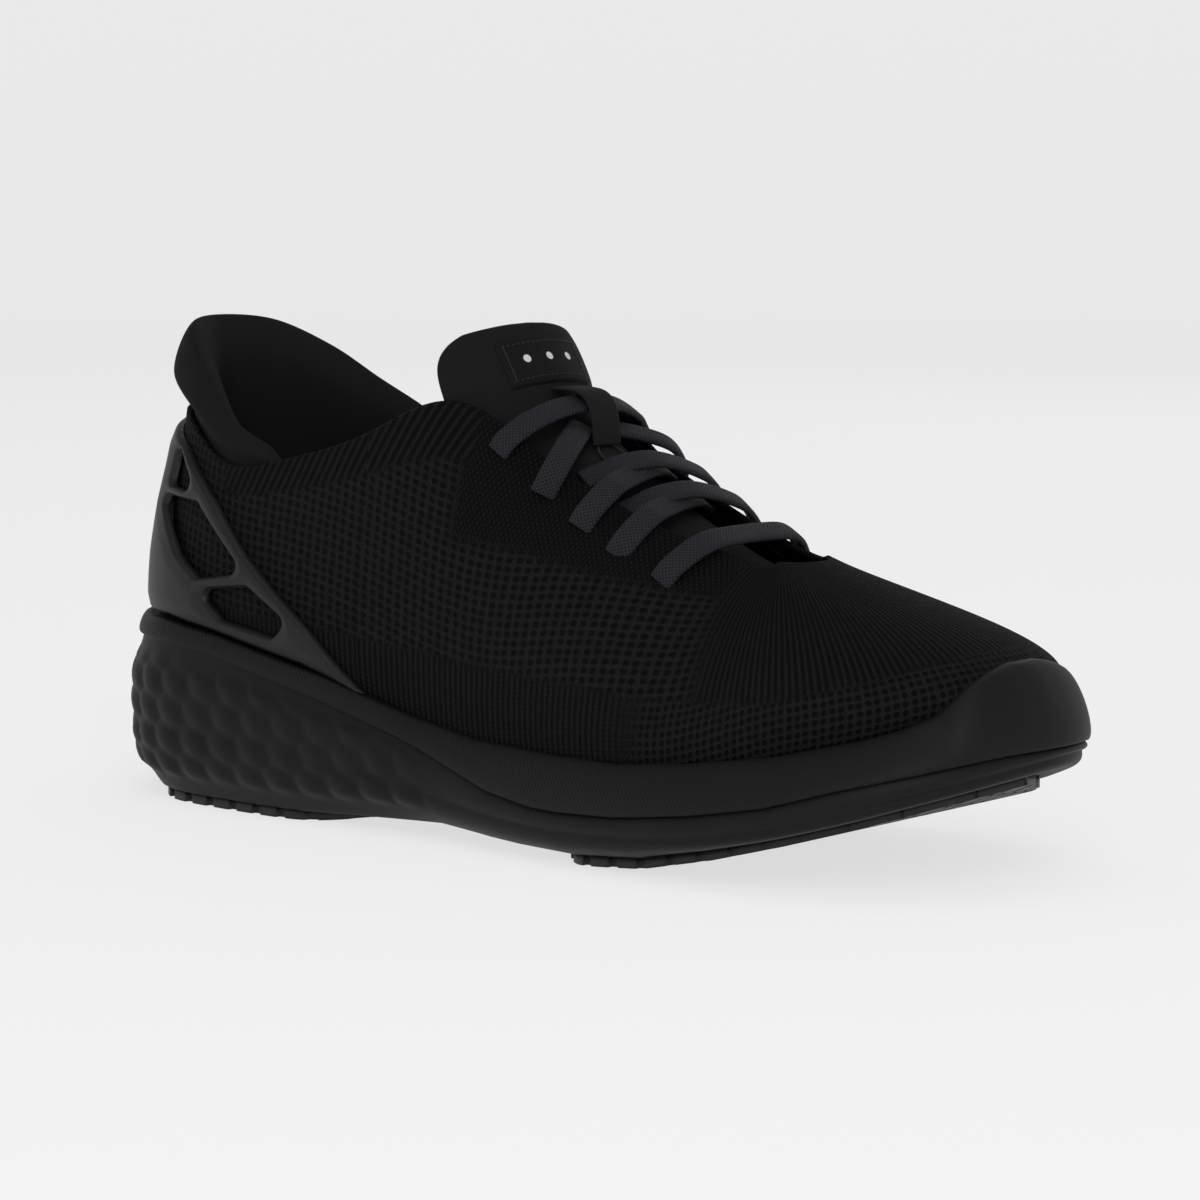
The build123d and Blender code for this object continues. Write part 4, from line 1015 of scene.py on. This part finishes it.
KEEPER_TAPE = plain("jersey_tape_black", "#141415", 0.85, 0.15)
keeper_s = np.linspace(*KEEPER_SPAN, len(KEEPER_RISE))
keeper_path = rounded_path(tongue_point(keeper_s, 0, -np.array(KEEPER_RISE)), 12)
keeper = strap("lace_keeper_strip", keeper_path, INSTEP, KEEPER_WIDTH, KEEPER_THICK, KEEPER_TAPE)
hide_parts("lace_keeper")
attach(keeper, "shoe_base")
tack_turn = np.linspace(0, 2 * np.pi, 40, endpoint=False)
tack_path = tongue_point(2.95 + 0.28 * np.sin(tack_turn), 4.6 * np.cos(tack_turn), -0.4)
tack = stitches("keeper_bartack", tack_path, follow(tack_path), (0.5, 0.45, 0.35), THREAD)
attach(tack, "shoe_base")

# ---- Lace ----
# One flat braided polyester lace, sewn in and never tied: a bar at the front, two crossed pairs, two
# ends that dive under the keeper and a bar at the top. Each strand is held at both of its ends.
EYELETS = [(48.5, 70.6), (34.5, 76.2), (23.0, 82.6), (11.0, 90.2), (-3.0, 99.6)]
EYELET_Y, LACE_WIDTH, LACE_THICK = 27.0, 6.6, 1.9
FLAT_RUN = [(-0.02, -2.5), (0.005, 1.2), (0.06, 4.2), (0.13, 7.0), (0.22, 8.8), (0.35, 9.4), (0.5, 9.5),
            (0.65, 9.4), (0.78, 8.8), (0.87, 7.0), (0.94, 4.2), (0.995, 1.2), (1.02, -2.5)]
OVER_RUN = [(-0.02, -2.5), (0.005, 1.2), (0.06, 4.2), (0.13, 6.8), (0.2, 8.4), (0.35, 10.2), (0.5, 10.6),
            (0.65, 8.2), (0.75, 4.6), (0.82, 2.2)]
UNDER_RUN = [(-0.02, -2.5), (0.005, 1.2), (0.06, 4.2), (0.13, 6.6), (0.2, 7.8), (0.35, 8.0), (0.5, 7.6),
             (0.65, 5.8), (0.75, 3.2), (0.82, 1.4)]
TOP_RUN = [(-0.02, -2.5), (0.005, 1.2), (0.06, 4.0), (0.13, 6.6), (0.3, 9.8), (0.5, 10.7), (0.7, 9.8),
           (0.87, 6.6), (0.94, 4.0), (0.995, 1.2), (1.02, -2.5)]
STUB_RUN = [(-0.03, -2.5), (0.01, 1.2), (0.12, 4.0), (0.3, 5.2), (0.6, 4.0), (0.85, 2.2), (1, 1.5)]


def braid():
    """Flat tubular braid: two sets of slanted ribs crossing, navy-black polyester; its colour is painted
    darker in the grooves between the ribs, as shade.
    """
    made, tree, out = new_material("flat_braid_navy_black")
    uv = add(tree, "ShaderNodeUVMap", uv_map="surface_mm").outputs[0]
    parts = add(tree, "ShaderNodeSeparateXYZ", {0: uv}).outputs
    heights = []
    for lean in (0.9, -0.9):
        slant = add(tree, "ShaderNodeMath", {0: parts[1], 1: lean, 2: parts[0]},
                    operation="MULTIPLY_ADD").outputs[0]
        wave = add(tree, "ShaderNodeMath", {0: slant, 1: 2 * math.pi / 1.1}, operation="MULTIPLY").outputs[0]
        heights.append(add(tree, "ShaderNodeMath", {0: wave}, operation="SINE").outputs[0])
    high = add(tree, "ShaderNodeMath", {0: heights[0], 1: heights[1]}, operation="MAXIMUM").outputs[0]
    # Painted shade: the grooves between the ribs get the dark end of the ramp, the crests the light end.
    tone = add(tree, "ShaderNodeMapRange", {0: high, 1: -0.4, 2: 1.0, 3: 0.25, 4: 1.0}).outputs[0]
    colour = add(tree, "ShaderNodeValToRGB", {0: tone})
    colour.color_ramp.elements[0].color = linear("#08080b")
    colour.color_ramp.elements[1].color = linear("#23232b")
    bump = add(tree, "ShaderNodeBump", {"Height": high, "Strength": 0.7, "Distance": 0.00025})
    shader = add(tree, "ShaderNodeBsdfPrincipled", {"Base Color": colour.outputs[0], "Roughness": 0.7,
                                                    "Specular IOR Level": 0.2, "Normal": bump.outputs[0]})
    tree.links.new(shader.outputs[0], out.inputs[0])
    return made


def eyelet(i, side):
    x, z = EYELETS[i]
    return np.array([x, side * EYELET_Y, z])


def lace_strand(name, start, finish, shape, material):
    share, height = np.array(shape).T
    points = start + (finish - start) * share[:, None] + INSTEP * height[:, None]
    path = rounded_path(points, 10)
    return strap(name, path, INSTEP, LACE_WIDTH, LACE_THICK, material)


BRAID = braid()
strands = [("lace_front_bar", eyelet(0, -1), eyelet(0, 1), FLAT_RUN),
           ("lace_top_bar", eyelet(4, -1), eyelet(4, 1), TOP_RUN)]
for pair in (1, 2):
    strands.append((f"lace_under_{pair}", eyelet(pair, -1), eyelet(pair + 1, 1), UNDER_RUN))
    strands.append((f"lace_over_{pair}", eyelet(pair, 1), eyelet(pair + 1, -1), OVER_RUN))
for side, word in ((-1, "outer"), (1, "inner")):
    strands.append((f"lace_end_{word}", eyelet(3, side), tongue_point(3.55, side * 4.0, 0), STUB_RUN))
for strand_name, start, finish, shape in strands:
    strand = lace_strand(strand_name, start, finish, shape, BRAID)
    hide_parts("lace")
    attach(strand, "shoe_base")
